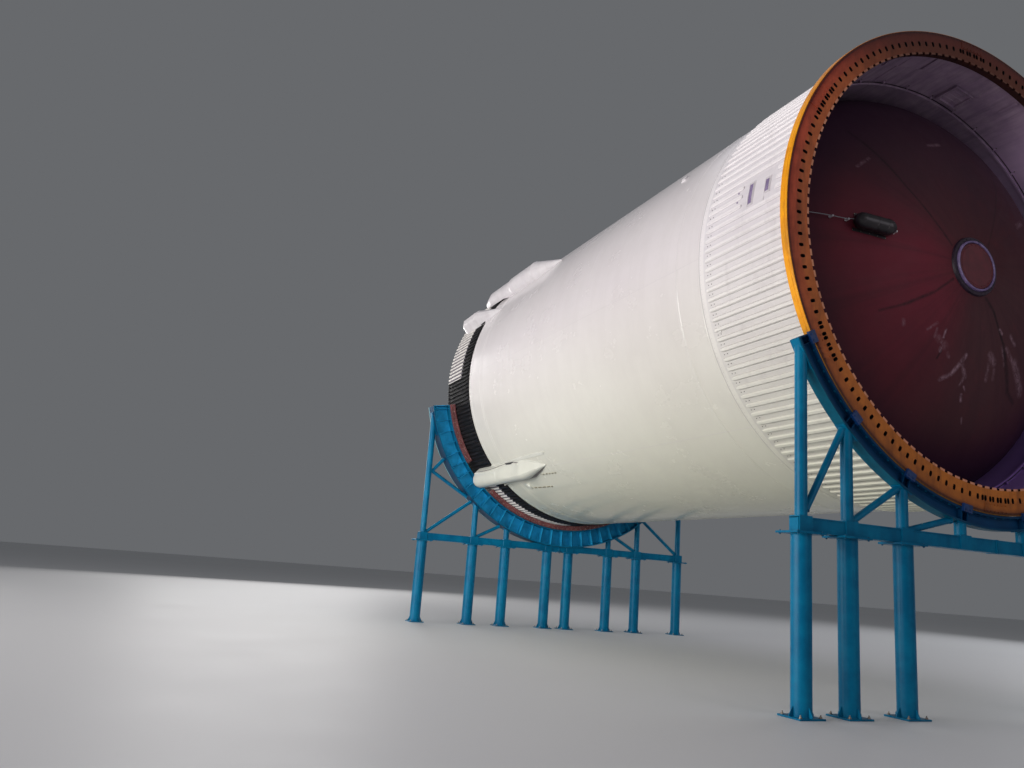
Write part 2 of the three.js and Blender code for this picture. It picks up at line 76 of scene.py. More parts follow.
# ------------------------------------------------------------------ materials
# rubbed marks on the dome's coat and dark laps in it, as strokes: y and height from the axis at both ends, half width, strength
RUBS = [
    (-1.77, -1.45, -1.76, -1.54, 0.058, 0.35), (-1.20, -1.56, -0.97, -1.39, 0.041, 0.35), (-0.74, -1.49, -0.78, -1.66, 0.043, 0.75), (-0.96, -1.51, -1.01, -1.69, 0.042, 0.35), (-0.93, -1.68, -0.71, -1.83, 0.109, 0.3),
    (-0.80, -1.84, -0.82, -1.94, 0.053, 1.0), (-0.62, -1.97, -0.58, -2.03, 0.058, 0.35), (-0.11, -1.93, -0.43, -2.37, 0.067, 0.85), (-0.43, -2.37, -0.69, -2.50, 0.063, 0.6), (-0.18, -2.11, -0.04, -2.36, 0.066, 0.6),
    (-0.04, -2.33, -0.14, -2.53, 0.054, 0.5), (0.63, -1.82, 0.74, -1.92, 0.130, 0.5), (0.61, -2.01, 0.61, -2.31, 0.075, 0.35), (0.82, -2.08, 0.83, -2.26, 0.063, 0.3), (0.85, -1.22, 0.93, -1.28, 0.054, 0.8),
    (1.26, -1.27, 1.44, -1.41, 0.070, 0.6), (1.16, -1.57, 1.57, -1.90, 0.079, 0.5), (1.54, -1.82, 2.00, -2.33, 0.160, 0.5), (0.97, -1.55, 1.14, -1.92, 0.049, 0.35), (-0.01, -2.56, 0.06, -2.63, 0.037, 0.6),
    (-0.02, -2.73, 0.01, -2.83, 0.054, 0.9), (0.18, -3.17, 0.23, -3.26, 0.038, 0.4), (-2.6, 1.9, -2.3, 2.15, 0.05, 0.3), (1.9, 1.5, 2.3, 1.75, 0.09, 0.35), (-0.6, 2.9, -0.2, 3.05, 0.06, 0.3),
]
LAPS = [
    (0.34, -0.63, 0.61, -0.87, 0.079, 0.5), (0.61, -0.87, 0.80, -1.19, 0.062, 0.6), (0.80, -1.19, 1.03, -1.52, 0.059, 0.75), (1.03, -1.52, 1.24, -1.96, 0.098, 0.6), (1.24, -1.96, 1.45, -2.42, 0.125, 0.5),
    (1.45, -2.42, 1.81, -2.60, 0.107, 0.4), (-0.79, -1.94, -0.87, -2.10, 0.031, 0.9), (-2.31, -1.32, -1.79, -1.13, 0.067, 0.35), (-1.79, -1.13, -1.11, -0.77, 0.072, 0.45), (-1.11, -0.77, -0.62, -0.40, 0.06, 0.4),
    (-0.62, 0.36, -1.6, 1.55, 0.05, 0.45), (-1.6, 1.55, -2.5, 2.9, 0.07, 0.4), (0.5, 0.6, 1.4, 2.3, 0.05, 0.35), (1.4, 2.3, 1.9, 3.6, 0.07, 0.35),
]


class Mat:
    """A small helper for building a node material."""

    def __init__(self, name):
        self.m = bpy.data.materials.new(name)
        self.m.use_nodes = True
        self.t = self.m.node_tree
        self.t.nodes.clear()
        self.out = self.t.nodes.new("ShaderNodeOutputMaterial")
        self.b = self.t.nodes.new("ShaderNodeBsdfPrincipled")
        self.t.links.new(self.b.outputs[0], self.out.inputs[0])
        self.pos = self.node("ShaderNodeTexCoord").outputs["Object"]
        self._cyl = None

    def node(self, kind, **props):
        n = self.t.nodes.new(kind)
        for k, v in props.items():
            setattr(n, k, v)
        return n

    def put(self, socket, v):
        if isinstance(v, bpy.types.NodeSocket):
            self.t.links.new(v, socket)
        else:
            socket.default_value = v

    def math(self, op, a, b=None, c=None, clamp=False):
        n = self.node("ShaderNodeMath", operation=op, use_clamp=clamp)
        self.put(n.inputs[0], a)
        if b is not None:
            self.put(n.inputs[1], b)
        if c is not None:
            self.put(n.inputs[2], c)
        return n.outputs[0]

    def scaled(self, scale, loc=(0, 0, 0)):
        n = self.node("ShaderNodeMapping")
        self.put(n.inputs["Vector"], self.pos)
        n.inputs["Scale"].default_value = scale if not isinstance(scale, (int, float)) else (scale,) * 3
        n.inputs["Location"].default_value = loc
        return n.outputs[0]

    def noise(self, scale, detail=4.0, rough=0.55, vec=None, dist=0.0):
        n = self.node("ShaderNodeTexNoise")
        self.put(n.inputs["Vector"], self.pos if vec is None else vec)
        n.inputs["Scale"].default_value = scale
        n.inputs["Detail"].default_value = detail
        n.inputs["Roughness"].default_value = rough
        n.inputs["Distortion"].default_value = dist
        return n.outputs[0]

    def voronoi(self, scale, feature="F1", vec=None, rand=1.0):
        n = self.node("ShaderNodeTexVoronoi", feature=feature)
        self.put(n.inputs["Vector"], self.pos if vec is None else vec)
        n.inputs["Scale"].default_value = scale
        n.inputs["Randomness"].default_value = rand
        return n.outputs["Distance"]

    def ramp(self, fac, stops, smooth=False):
        n = self.node("ShaderNodeValToRGB")
        cr = n.color_ramp
        cr.interpolation = "EASE" if smooth else "LINEAR"
        while len(cr.elements) < len(stops):
            cr.elements.new(0.5)
        for e, (p, c) in zip(cr.elements, stops):
            e.position = p
            e.color = (c, c, c, 1) if isinstance(c, (int, float)) else c
        self.put(n.inputs[0], fac)
        return n.outputs[0]

    def mix(self, fac, a, b, mode="MIX"):
        n = self.node("ShaderNodeMix", data_type="RGBA", blend_type=mode, clamp_factor=True)
        self.put(n.inputs["Factor"], fac)
        self.put(n.inputs[6], a)
        self.put(n.inputs[7], b)
        return n.outputs[2]

    def between(self, x, lo, hi, soft):
        """1 where lo < x < hi, with soft edges."""
        a = self.math("SMOOTH_MIN", 1.0, 1.0, 0.0)
        up_ = self.math("MULTIPLY_ADD", x, 1 / soft, -lo / soft + 0.5, clamp=True)
        dn_ = self.math("MULTIPLY_ADD", x, -1 / soft, hi / soft + 0.5, clamp=True)
        self.t.nodes.remove(a.node)
        return self.math("MULTIPLY", up_, dn_)

    def above(self, x, edge, soft):
        return self.math("MULTIPLY_ADD", x, 1 / soft, -edge / soft + 0.5, clamp=True)

    def cyl(self):
        """Station, angle in degrees and radius of the shaded point."""
        if self._cyl is None:
            n = self.node("ShaderNodeSeparateXYZ")
            self.put(n.inputs[0], self.pos)
            x, y, z = n.outputs
            s = self.math("MULTIPLY_ADD", x, -1.0, XR)
            h = self.math("SUBTRACT", z, AZ)
            d = self.math("MULTIPLY", h, -1.0)
            ang = self.math("MULTIPLY", self.math("ARCTAN2", y, d), 180 / math.pi)
            r = self.math("SQRT", self.math("ADD", self.math("MULTIPLY", y, y), self.math("MULTIPLY", h, h)))
            self._cyl = (s, ang, r, z)
        return self._cyl

    def cylvec(self, ks, ka, kr=1.0):
        """Coordinates that run along the station and round the stage, for streaks."""
        s, ang, r, _ = self.cyl()
        n = self.node("ShaderNodeCombineXYZ")
        self.put(n.inputs[0], self.math("MULTIPLY", s, ks))
        # the angle goes round as a circle, so no seam shows
        c = self.math("MULTIPLY", self.math("COSINE", self.math("MULTIPLY", ang, math.pi / 180)), ka)
        d = self.math("MULTIPLY", self.math("SINE", self.math("MULTIPLY", ang, math.pi / 180)), ka)
        self.put(n.inputs[1], c)
        self.put(n.inputs[2], d)
        return n.outputs[0]

    def bump(self, height, strength, distance, normal=None):
        n = self.node("ShaderNodeBump")
        n.inputs["Strength"].default_value = strength
        n.inputs["Distance"].default_value = distance
        self.put(n.inputs["Height"], height)
        if normal is not None:
            self.put(n.inputs["Normal"], normal)
        return n.outputs[0]

    def strokes(self, rows, soft=1.0):
        """Soft-edged strokes laid on the stage's end, one after the other, as a mask."""
        x = self.node("ShaderNodeSeparateXYZ")
        self.put(x.inputs[0], self.pos)
        v = self.node("ShaderNodeCombineXYZ")
        self.put(v.inputs[1], x.outputs[1])
        self.put(v.inputs[2], self.math("SUBTRACT", x.outputs[2], AZ))
        out = None
        for ya, za, yb, zb, w, amount in rows:
            d = (0.0, yb - ya, zb - za)
            l2 = d[1] ** 2 + d[2] ** 2
            here = v.outputs[0]
            if out is not None:      # each stroke waits for the one before, so the shader keeps few values at a time
                wait = self.node("ShaderNodeVectorMath", operation="MULTIPLY_ADD")
                self.put(wait.inputs[0], out)
                wait.inputs[1].default_value = (1e-7, 1e-7, 1e-7)
                self.put(wait.inputs[2], here)
                here = wait.outputs[0]
            rel = self.node("ShaderNodeVectorMath", operation="SUBTRACT")
            self.put(rel.inputs[0], here)
            rel.inputs[1].default_value = (0.0, ya, za)
            dot = self.node("ShaderNodeVectorMath", operation="DOT_PRODUCT")
            self.put(dot.inputs[0], rel.outputs[0])
            dot.inputs[1].default_value = (0.0, d[1] / l2, d[2] / l2)
            along = self.math("MULTIPLY", dot.outputs["Value"], 1.0, clamp=True)
            foot = self.node("ShaderNodeVectorMath", operation="SCALE")
            foot.inputs[0].default_value = d
            self.put(foot.inputs["Scale"], along)
            gap = self.node("ShaderNodeVectorMath", operation="DISTANCE")
            self.put(gap.inputs[0], rel.outputs[0])
            self.put(gap.inputs[1], foot.outputs[0])
            one = self.math("MULTIPLY", self.math("MULTIPLY_ADD", gap.outputs["Value"], -1.0 / w, 1.0, clamp=True), amount * soft)
            out = one if out is None else self.math("MAXIMUM", out, one)
        return out

    def finish(self, color, rough, metal=0.0, normal=None, coat=0.0, coat_rough=0.1, spec=0.5):
        self.put(self.b.inputs["Base Color"], color)
        self.put(self.b.inputs["Roughness"], rough)
        self.b.inputs["Metallic"].default_value = metal
        self.b.inputs["Coat Weight"].default_value = coat
        self.b.inputs["Coat Roughness"].default_value = coat_rough
        self.b.inputs["Specular IOR Level"].default_value = spec
        if normal is not None:
            self.put(self.b.inputs["Normal"], normal)
        return self.m


def paint(name, base, dark, light, rough=(0.3, 0.45), grime=None, grime_amount=0.35, chips=None, chip_amount=0.0, coat=0.15,
          scale=1.0, streak=True, metal=0.0, peel=0.0006, spec=0.5, low=None):
    """Sprayed paint on metal: slow colour drift, streaks that run down, fine peel, worn specks that show the coat below."""
    k = Mat(name)
    slow = k.noise(0.35 * scale, 3)
    mid = k.noise(2.3 * scale, 5, 0.6)
    fine = k.noise(38 * scale, 3, 0.6)
    col = k.mix(k.ramp(slow, [(0.32, 0.0), (0.7, 1.0)]), base, light)
    col = k.mix(k.math("MULTIPLY", k.ramp(mid, [(0.38, 1.0), (0.62, 0.0)]), 0.55), col, dark)
    if streak:
        run = k.noise(1.0, 4, 0.6, vec=k.scaled((3.2 * scale, 3.2 * scale, 0.22 * scale)))
        col = k.mix(k.math("MULTIPLY", k.ramp(run, [(0.5, 0.0), (0.72, 1.0)]), grime_amount), col, grime or dark)
    if chip_amount:
        spots = k.noise(11 * scale, 6, 0.7)
        worn = k.ramp(spots, [(0.66 - chip_amount * 0.1, 0.0), (0.69 - chip_amount * 0.1, 1.0)])
        col = k.mix(worn, col, chips)
    if low:      # painted shade: a darker, greener second tone that comes in below the axis
        col = k.mix(k.math("MULTIPLY", k.ramp(k.math("DIVIDE", k.cyl()[3], 14.0), [(0.3, 1.0), (0.66, 0.0)]), 0.8), col, low)
    r = k.math("MULTIPLY_ADD", mid, rough[1] - rough[0], rough[0])
    n = k.bump(fine, 0.25, peel)
    n = k.bump(mid, 0.18, peel * 8, n)
    return k.finish(col, r, metal, n, coat, 0.12, spec)


def mat_tank(name="stage_white_paint", warm=0.0):
    """Gloss white over welded panels: faint seams round and along the barrel, wavy reflections, thin grime."""
    k = Mat(name)
    s, ang, r, z = k.cyl()
    base, light, shade = lin(224, 217, 219), lin(231, 226, 226), lin(204, 196, 200)
    slow = k.noise(0.16, 3)
    col = k.mix(k.ramp(slow, [(0.3, 0.0), (0.72, 1.0)]), base, light)
    blotch = k.noise(0.9, 5, 0.62, vec=k.cylvec(0.7, 5.0))
    col = k.mix(k.math("MULTIPLY", k.ramp(blotch, [(0.35, 0.0), (0.8, 1.0)]), 0.14), col, shade)
    # painted shade: the underside is darker, a little greener and greyer
    col = k.mix(k.math("MULTIPLY", k.ramp(k.math("DIVIDE", z, 14.0), [(0.26, 1.0), (0.68, 0.0)]), 0.9), col, lin(196, 198, 170))
    # dark joint lines at both ends
    col = k.mix(k.math("MULTIPLY", k.math("LESS_THAN", s, 3.012), 0.4), col, lin(130, 122, 128))
    run = k.noise(1.0, 5, 0.65, vec=k.scaled((1.6, 1.6, 0.12)))
    col = k.mix(k.math("MULTIPLY", k.ramp(run, [(0.4, 0.0), (0.8, 1.0)]), 0.16), col, lin(176, 168, 165))
    # longitudinal welds every 45 degrees, and shadows beside them
    saw = k.math("ABSOLUTE", k.math("SUBTRACT", k.math("FRACT", k.math("DIVIDE", k.math("ADD", ang, 382.0), 45.0)), 0.5))
    weld = k.ramp(saw, [(0.0, 1.0), (0.0016, 0.6), (0.0035, 0.0)])
    col = k.mix(k.math("MULTIPLY", weld, 0.35), col, shade)
    fine = k.noise(46, 3, 0.6)
    wave = k.noise(0.8, 2, 0.5)
    spots = k.noise(5.0, 5, 0.6)
    col = k.mix(k.math("MULTIPLY", k.ramp(spots, [(0.3, 0.0), (0.8, 1.0)]), 0.08), col, lin(190, 184, 180))
    rr = k.math("MULTIPLY_ADD", blotch, 0.12, 0.2)
    n = k.bump(fine, 0.2, 0.0006)
    n = k.bump(wave, 0.1, 0.05, n)
    n = k.bump(weld, 0.5, 0.003, n)
    return k.finish(col, rr, 0.0, n, 0.3, 0.1)


def mat_skirt_white(name="skirt_white_paint"):
    """White paint on hat stringers, with shade painted in: the gaps between them darker, made uneven by a dirt noise, a
    painted shadow line at each stringer's foot, and the crowns left bright.
    """
    k = Mat(name)
    s, ang, r, z = k.cyl()
    low = k.math("SUBTRACT", 1.0, k.above(r, 5.0325, 0.004))
    foot = k.between(r, 5.0312, 5.044, 0.003)
    slow = k.noise(0.4, 3)
    col = k.mix(k.ramp(slow, [(0.3, 0.0), (0.7, 1.0)]), lin(226, 220, 222), lin(238, 233, 234))
    dirt = k.noise(2.2, 5, 0.65, vec=k.cylvec(0.5, 30.0))
    bars = k.between(s, 0.2, 2.84, 0.02)
    # painted shade in the gaps between the stringers, made uneven by the dirt noise
    col = k.mix(k.math("MULTIPLY", k.math("MULTIPLY", low, bars), k.ramp(dirt, [(0.25, 0.2), (0.8, 0.5)])), col, lin(188, 181, 190))
    # painted shadow line along each stringer's foot
    col = k.mix(k.math("MULTIPLY", foot, 0.4), col, lin(140, 132, 142))
    # painted shade: darker and greener towards the underside
    col = k.mix(k.math("MULTIPLY", k.ramp(k.math("DIVIDE", z, 14.0), [(0.26, 1.0), (0.68, 0.0)]), 0.9), col, lin(214, 220, 190), "MULTIPLY")
    # the plain band behind the stringers, and the joint with the tank
    col = k.mix(k.math("MULTIPLY", k.above(s, 2.985, 0.004), 0.4), col, lin(124, 116, 122))
    run = k.noise(1.0, 5, 0.65, vec=k.scaled((2.6, 2.6, 0.3)))
    col = k.mix(k.math("MULTIPLY", k.ramp(run, [(0.55, 0.0), (0.75, 1.0)]), 0.3), col, lin(168, 160, 160))
    fine = k.noise(40, 3, 0.6)
    n = k.bump(fine, 0.25, 0.0007)
    return k.finish(col, k.math("MULTIPLY_ADD", dirt, 0.22, 0.30), 0.0, n, 0.10, 0.15)


def mat_aft_pattern(name="roll_pattern_paint"):
    """Black and white blocks in eighths of the circle, with a black band ahead of them."""
    k = Mat(name)
    s, ang, r, z = k.cyl()
    edge = k.math("MULTIPLY_ADD", k.noise(6.0, 3), 0.008, -0.004)
    sector = k.math("FLOOR", k.math("DIVIDE", k.math("ADD", ang, 360.0), 45.0))
    odd = k.math("MODULO", sector, 2.0)
    white = k.math("MULTIPLY", odd, k.above(k.math("ADD", s, edge), 17.95, 0.004))
    inner = k.math("LESS_THAN", r, 4.99)
    mid = k.noise(2.6, 5, 0.62)
    w = k.mix(k.ramp(mid, [(0.4, 0.0), (0.7, 1.0)]), lin(232, 228, 222), lin(205, 200, 196))
    b = k.mix(k.ramp(mid, [(0.35, 0.0), (0.7, 1.0)]), lin(8, 8, 11), lin(24, 23, 29))
    # painted shade in the gaps between the stringers, on the white and on the black
    w = k.mix(k.between(r, 5.0, 5.046, 0.006), w, lin(112, 106, 116))
    b = k.mix(k.between(r, 5.0, 5.046, 0.006), b, lin(3, 3, 5))
    col = k.mix(white, b, w)
    col = k.mix(inner, col, k.mix(mid, lin(92, 96, 72), lin(70, 76, 56)))
    dirt = k.noise(2.0, 5, 0.65, vec=k.cylvec(0.6, 30.0))
    col = k.mix(k.math("MULTIPLY", k.ramp(dirt, [(0.5, 0.0), (0.8, 1.0)]), 0.3), col, lin(88, 82, 78))
    fine = k.noise(44, 3, 0.6)
    n = k.bump(fine, 0.25, 0.0006)
    return k.finish(col, k.math("MULTIPLY_ADD", mid, 0.25, 0.5), 0.0, n, 0.0, 0.15, spec=0.25)


def mat_ring(name="ring_paint"):
    """Golden rim, red-brown outer face and orange-brown inner face, rubbed through at the teeth, with shade painted in
    the notches, by the rim, at the top and under the rim.
    """
    k = Mat(name)
    s, ang, r, z = k.cyl()
    mid = k.noise(3.4, 6, 0.65)
    slow = k.noise(0.7, 3)
    high = k.ramp(k.math("MULTIPLY_ADD", z, 0.1, -0.45), [(0.0, 0.0), (0.55, 1.0)], True)    # 4.5 m up .. 10 m up
    rim = k.mix(k.ramp(mid, [(0.35, 0.0), (0.7, 1.0)]), lin(240, 162, 0), lin(226, 144, 0))
    rim = k.mix(k.math("MULTIPLY", k.ramp(slow, [(0.5, 0.0), (0.72, 1.0)]), 0.5), rim, lin(226, 150, 20))
    # painted light: near the top the rim turns a duller, pinker tone, the tint of the light there
    rim = k.mix(k.ramp(k.math("MULTIPLY_ADD", z, 0.25, -2.6), [(0.0, 0.0), (0.9, 0.8)], True), rim, lin(196, 118, 70))
    # the face: nearly black-brown beside the rim, red-brown in the middle, orange-brown at the toothed edge, more golden low down
    outer = k.mix(high, lin(124, 68, 30), lin(164, 54, 34))
    middle = k.mix(high, lin(172, 98, 34), lin(198, 84, 52))
    inner = k.mix(high, lin(194, 112, 36), lin(196, 102, 52))
    wear = k.math("MULTIPLY_ADD", mid, 0.05, -0.025)
    rr = k.math("ADD", r, wear)
    col = k.mix(k.ramp(k.math("MULTIPLY_ADD", rr, 4.0, -19.6), [(0.1, 0.0), (0.55, 1.0)], True), inner, middle)      # 4.90 .. 5.15
    col = k.mix(k.ramp(k.math("MULTIPLY_ADD", rr, 4.0, -20.2), [(0.15, 0.0), (0.62, 1.0)], True), col, outer)     # 5.05 .. 5.30
    col = k.mix(k.math("MULTIPLY", k.ramp(mid, [(0.4, 0.0), (0.7, 1.0)]), 0.35), col, lin(92, 42, 26))
    teeth = k.mix(mid, lin(226, 160, 126), lin(200, 126, 92))
    # painted shadow: the notch walls and the recess behind the teeth are near black
    deep = lin(30, 14, 14)
    col = k.mix(k.above(r, 4.755, 0.004), teeth, k.mix(k.above(s, 0.057, 0.002), col, k.mix(k.above(r, 4.86, 0.01), deep, col)))
    notchwall = k.math("MULTIPLY", k.above(s, 0.003, 0.003), k.math("LESS_THAN", r, 4.765))
    col = k.mix(notchwall, col, deep)
    # painted shade: dark in the corner where the face meets the rim, and dull at the very top, where the light doesn't
    # reach
    col = k.mix(k.math("MULTIPLY", k.between(r, 5.185, 5.24, 0.02), 0.7), col, lin(44, 16, 14))
    col = k.mix(k.ramp(k.math("MULTIPLY_ADD", z, 0.25, -2.9), [(0.0, 0.0), (0.55, 0.85)], True), col, lin(56, 28, 26))
    # painted shade: the rim turns dark olive on its underside
    under = k.ramp(k.math("DIVIDE", z, 14.0), [(0.40, 0.85), (0.50, 0.0)])
    rim = k.mix(under, rim, lin(112, 78, 20))
    col = k.mix(k.above(r, 5.236, 0.006), col, rim)
    # rust-brown stains run down from the bolt holes, and scuffs
    run = k.noise(1.0, 5, 0.65, vec=k.scaled((4.0, 4.0, 0.6)))
    col = k.mix(k.math("MULTIPLY", k.ramp(run, [(0.5, 0.0), (0.7, 1.0)]), 0.5), col, lin(84, 40, 24))
    scuff = k.noise(16, 6, 0.75)
    col = k.mix(k.math("MULTIPLY", k.ramp(scuff, [(0.68, 0.0), (0.72, 1.0)]), 0.4), col, lin(190, 140, 96))
    n = k.bump(k.noise(50, 3, 0.6), 0.3, 0.0008)
    n = k.bump(mid, 0.25, 0.004, n)
    return k.finish(col, k.math("MULTIPLY_ADD", mid, 0.3, 0.4), 0.0, n, 0.0, 0.2, spec=0.3)


def mat_dome(name="dome_insulation"):
    """Dark red-brown coat: soft radial streaks, a few dark laps, pale rubbed marks low down; painted shade,
    purple-black, towards the wall and on the upper side.
    """
    k = Mat(name)
    s, ang, r, z = k.cyl()
    radial = k.noise(1.0, 5, 0.6, vec=k.cylvec(0.15, 7.0))        # streaks that run from the crown to the wall
    slow = k.noise(0.4, 4, 0.55)
    mid = k.noise(2.0, 6, 0.62)
    col = k.mix(k.ramp(slow, [(0.3, 0.0), (0.72, 1.0)]), lin(66, 28, 36), lin(82, 34, 40))
    # the near half is redder, between the crown and the wall
    red = k.math("MULTIPLY", k.between(ang, -118.0, -22.0, 40.0), k.between(r, 0.7, 3.5, 1.3))
    col = k.mix(k.math("MULTIPLY", red, k.ramp(slow, [(0.3, 0.55), (0.7, 0.95)])), col, lin(116, 30, 48))
    # the far half below the crown has gone grey-brown
    grey = k.math("MULTIPLY", k.between(ang, -12.0, 95.0, 40.0), k.between(r, 0.6, 3.9, 1.0))
    col = k.mix(k.math("MULTIPLY", grey, 0.6), col, lin(76, 48, 52))
    col = k.mix(k.math("MULTIPLY", k.ramp(radial, [(0.46, 0.0), (0.74, 1.0)]), 0.35), col, lin(50, 22, 32))
    col = k.mix(k.math("MULTIPLY", k.ramp(mid, [(0.56, 0.0), (0.8, 1.0)]), 0.35), col, lin(112, 52, 56))
    # painted shade: the edge is nearly black with a purple cast, in the shade of the wall; it turns to it over the last
    # metre and a half
    col = k.mix(k.ramp(k.math("MULTIPLY_ADD", r, 0.5, -1.55), [(0.0, 0.0), (0.8, 0.85)], True), col, lin(44, 24, 48))
    # painted shade: the upper side is darker
    col = k.mix(k.math("MULTIPLY", k.ramp(k.math("DIVIDE", z, 14.0), [(0.66, 0.0), (0.9, 1.0)], True), 0.75), col, lin(50, 28, 46))
    # laps and rubs, both broken up by noise
    wob = k.noise(7.0, 5, 0.6)
    lap = k.math("MULTIPLY", k.ramp(k.strokes(LAPS, 1.4), [(0.05, 0.0), (0.7, 1.0)], True), k.ramp(wob, [(0.25, 0.35), (0.6, 1.0)]))
    col = k.mix(k.math("MULTIPLY", lap, 0.85), col, lin(26, 10, 18))
    thin = k.noise(1.0, 6, 0.7, vec=k.cylvec(3.0, 30.0), dist=1.5)
    blot = k.noise(9.0, 6, 0.72, dist=0.8)
    pale = k.math("MULTIPLY", k.strokes(RUBS, 1.5), k.math("MULTIPLY", k.ramp(blot, [(0.36, 0.0), (0.6, 1.0)]), k.ramp(thin, [(0.34, 0.25), (0.56, 1.0)])), clamp=True)
    col = k.mix(pale, col, lin(168, 134, 146))
    dots = k.voronoi(1.5)
    col = k.mix(k.math("MULTIPLY", k.ramp(dots, [(0.0, 1.0), (0.03, 0.0)]), 0.4), col, lin(140, 110, 112))
    n = k.bump(k.noise(30, 4, 0.6), 0.3, 0.001)
    n = k.bump(k.math("ADD", radial, mid), 0.3, 0.02, n)
    n = k.bump(lap, -0.5, 0.02, n)
    n = k.bump(pale, 0.8, 0.02, n)
    return k.finish(col, k.math("MULTIPLY_ADD", mid, 0.25, 0.5), 0.0, n, 0.0, 0.25, spec=0.25)


def mat_inner(name="inner_wall_paint"):
    """Lilac-grey primer on the skirt's inner wall: brushed marks, stains below each fitting, and light painted in by
    height.
    """
    k = Mat(name)
    mid = k.noise(2.8, 5, 0.62)
    streak = k.noise(1.0, 5, 0.6, vec=k.cylvec(0.8, 40.0))
    col = k.mix(k.ramp(mid, [(0.34, 0.0), (0.7, 1.0)]), lin(160, 132, 160), lin(186, 160, 180))
    col = k.mix(k.math("MULTIPLY", k.ramp(streak, [(0.45, 0.0), (0.72, 1.0)]), 0.5), col, lin(104, 88, 108))
    z = k.cyl()[3]
    # painted light: a purple cast low down, and a pale pink-white band high up where the light catches the wall
    col = k.mix(k.ramp(k.math("DIVIDE", z, 14.0), [(0.35, 0.85), (0.85, 0.0)], True), col, lin(154, 112, 196))
    col = k.mix(k.ramp(k.math("DIVIDE", z, 14.0), [(0.62, 0.0), (0.8, 0.75), (0.9, 0.7), (0.98, 0.0)], True), col, lin(232, 196, 236))
    scr = k.noise(22, 7, 0.75)
    col = k.mix(k.math("MULTIPLY", k.ramp(scr, [(0.66, 0.0), (0.7, 1.0)]), 0.5), col, lin(176, 164, 180))
    n = k.bump(k.noise(42, 3, 0.6), 0.3, 0.0008)
    n = k.bump(mid, 0.2, 0.004, n)
    return k.finish(col, k.math("MULTIPLY_ADD", mid, 0.25, 0.42), 0.0, n, 0.05, 0.3)


def mat_girder(name="girder_blue_paint"):
    """Blue paint on the curved girders, with light and shade painted in: a brighter lit blue on the aft web, darker
    shaded blue on the front web, the flange faces and the front faces, and a pale far edge.
    """
    k = Mat(name)
    s, ang, r, z = k.cyl()
    slow = k.noise(0.4, 3)
    mid = k.noise(2.4, 5, 0.6)
    aft = k.above(s, 9.0, 0.1)
    col = k.mix(k.ramp(slow, [(0.32, 0.0), (0.7, 1.0)]), lin(0, 104, 142), lin(6, 118, 154))
    # painted light and shade on the webs: the aft web a brighter lit blue, the front web a darker shaded blue
    web = k.math("MAXIMUM", k.math("MULTIPLY", aft, k.between(r, 5.30, 5.872, 0.004)), k.math("MULTIPLY", k.math("SUBTRACT", 1.0, aft), k.between(r, 5.20, 5.508, 0.004)))
    col = k.mix(web, col, k.mix(aft, lin(0, 62, 104), lin(34, 156, 206)))
    # painted shade on the outer flanges' outward faces, darker at the front cradle
    out_ = k.math("MAXIMUM", k.math("MULTIPLY", aft, k.above(r, 5.9095, 0.003)), k.math("MULTIPLY", k.math("SUBTRACT", 1.0, aft), k.above(r, 5.5445, 0.003)))
    col = k.mix(out_, col, k.mix(aft, lin(0, 104, 130), lin(2, 56, 88)))
    # a pale band along the aft girder's far edge
    far = k.math("MULTIPLY", k.math("MULTIPLY", out_, aft), k.above(s, 19.19, 0.01))
    col = k.mix(far, col, lin(120, 178, 186))
    # painted shade on the front girder's front faces
    front = k.math("MULTIPLY", k.math("SUBTRACT", 1.0, aft), k.math("LESS_THAN", s, 0.004))
    col = k.mix(k.math("MULTIPLY", front, 0.8), col, lin(2, 48, 82))
    col = k.mix(k.math("MULTIPLY", k.ramp(mid, [(0.38, 1.0), (0.62, 0.0)]), 0.35), col, lin(2, 44, 72))
    run = k.noise(1.0, 4, 0.6, vec=k.scaled((3.2, 3.2, 0.22)))
    col = k.mix(k.math("MULTIPLY", k.ramp(run, [(0.5, 0.0), (0.72, 1.0)]), 0.25), col, lin(4, 40, 64))
    n = k.bump(k.noise(38, 3, 0.6), 0.25, 0.0006)
    n = k.bump(mid, 0.18, 0.005, n)
    return k.finish(col, k.math("MULTIPLY_ADD", mid, 0.18, 0.4), 0.0, n, 0.0, 0.15, spec=0.15)


def mat_bell(name="nozzle_tubes", i=0):
    """Nozzle wall of brazed tubes: heat tint in bands, soot towards the exit."""
    k = Mat(name)
    s, ang, r, z = k.cyl()
    mid = k.noise(3.0, 5, 0.6)
    band = k.noise(1.0, 4, 0.6, vec=k.scaled((3.0, 0.3, 0.3)))
    col = k.mix(k.ramp(mid, [(0.35, 0.0), (0.7, 1.0)]), lin(150, 142, 136), lin(176, 168, 160))
    col = k.mix(k.math("MULTIPLY", k.ramp(band, [(0.42, 0.0), (0.7, 1.0)]), 0.55), col, lin(118, 98, 92))
    col = k.mix(k.math("MULTIPLY", k.ramp(k.math("MULTIPLY_ADD", s, 1.0, -23.2), [(0.2, 0.0), (1.15, 1.0)]), 0.55), col, lin(70, 64, 66))
    n = k.bump(k.noise(60, 3, 0.6), 0.25, 0.0006)
    return k.finish(col, k.math("MULTIPLY_ADD", mid, 0.2, 0.26), 0.85, n)


def metal(name, a, b, rough=(0.25, 0.42), metallic=0.9, scale=1.0, brushed=False):
    k = Mat(name)
    mid = k.noise(6.0 * scale, 5, 0.62)
    col = k.mix(k.ramp(mid, [(0.35, 0.0), (0.7, 1.0)]), a, b)
    fine = k.noise(1.0, 4, 0.6, vec=k.scaled((220, 24, 24) if brushed else (90, 90, 90)))
    stain = k.noise(1.7 * scale, 5, 0.66)
    col = k.mix(k.math("MULTIPLY", k.ramp(stain, [(0.55, 0.0), (0.78, 1.0)]), 0.4), col, lin(82, 70, 60))
    n = k.bump(fine, 0.2, 0.0004)
    return k.finish(col, k.math("MULTIPLY_ADD", mid, rough[1] - rough[0], rough[0]), metallic, n)


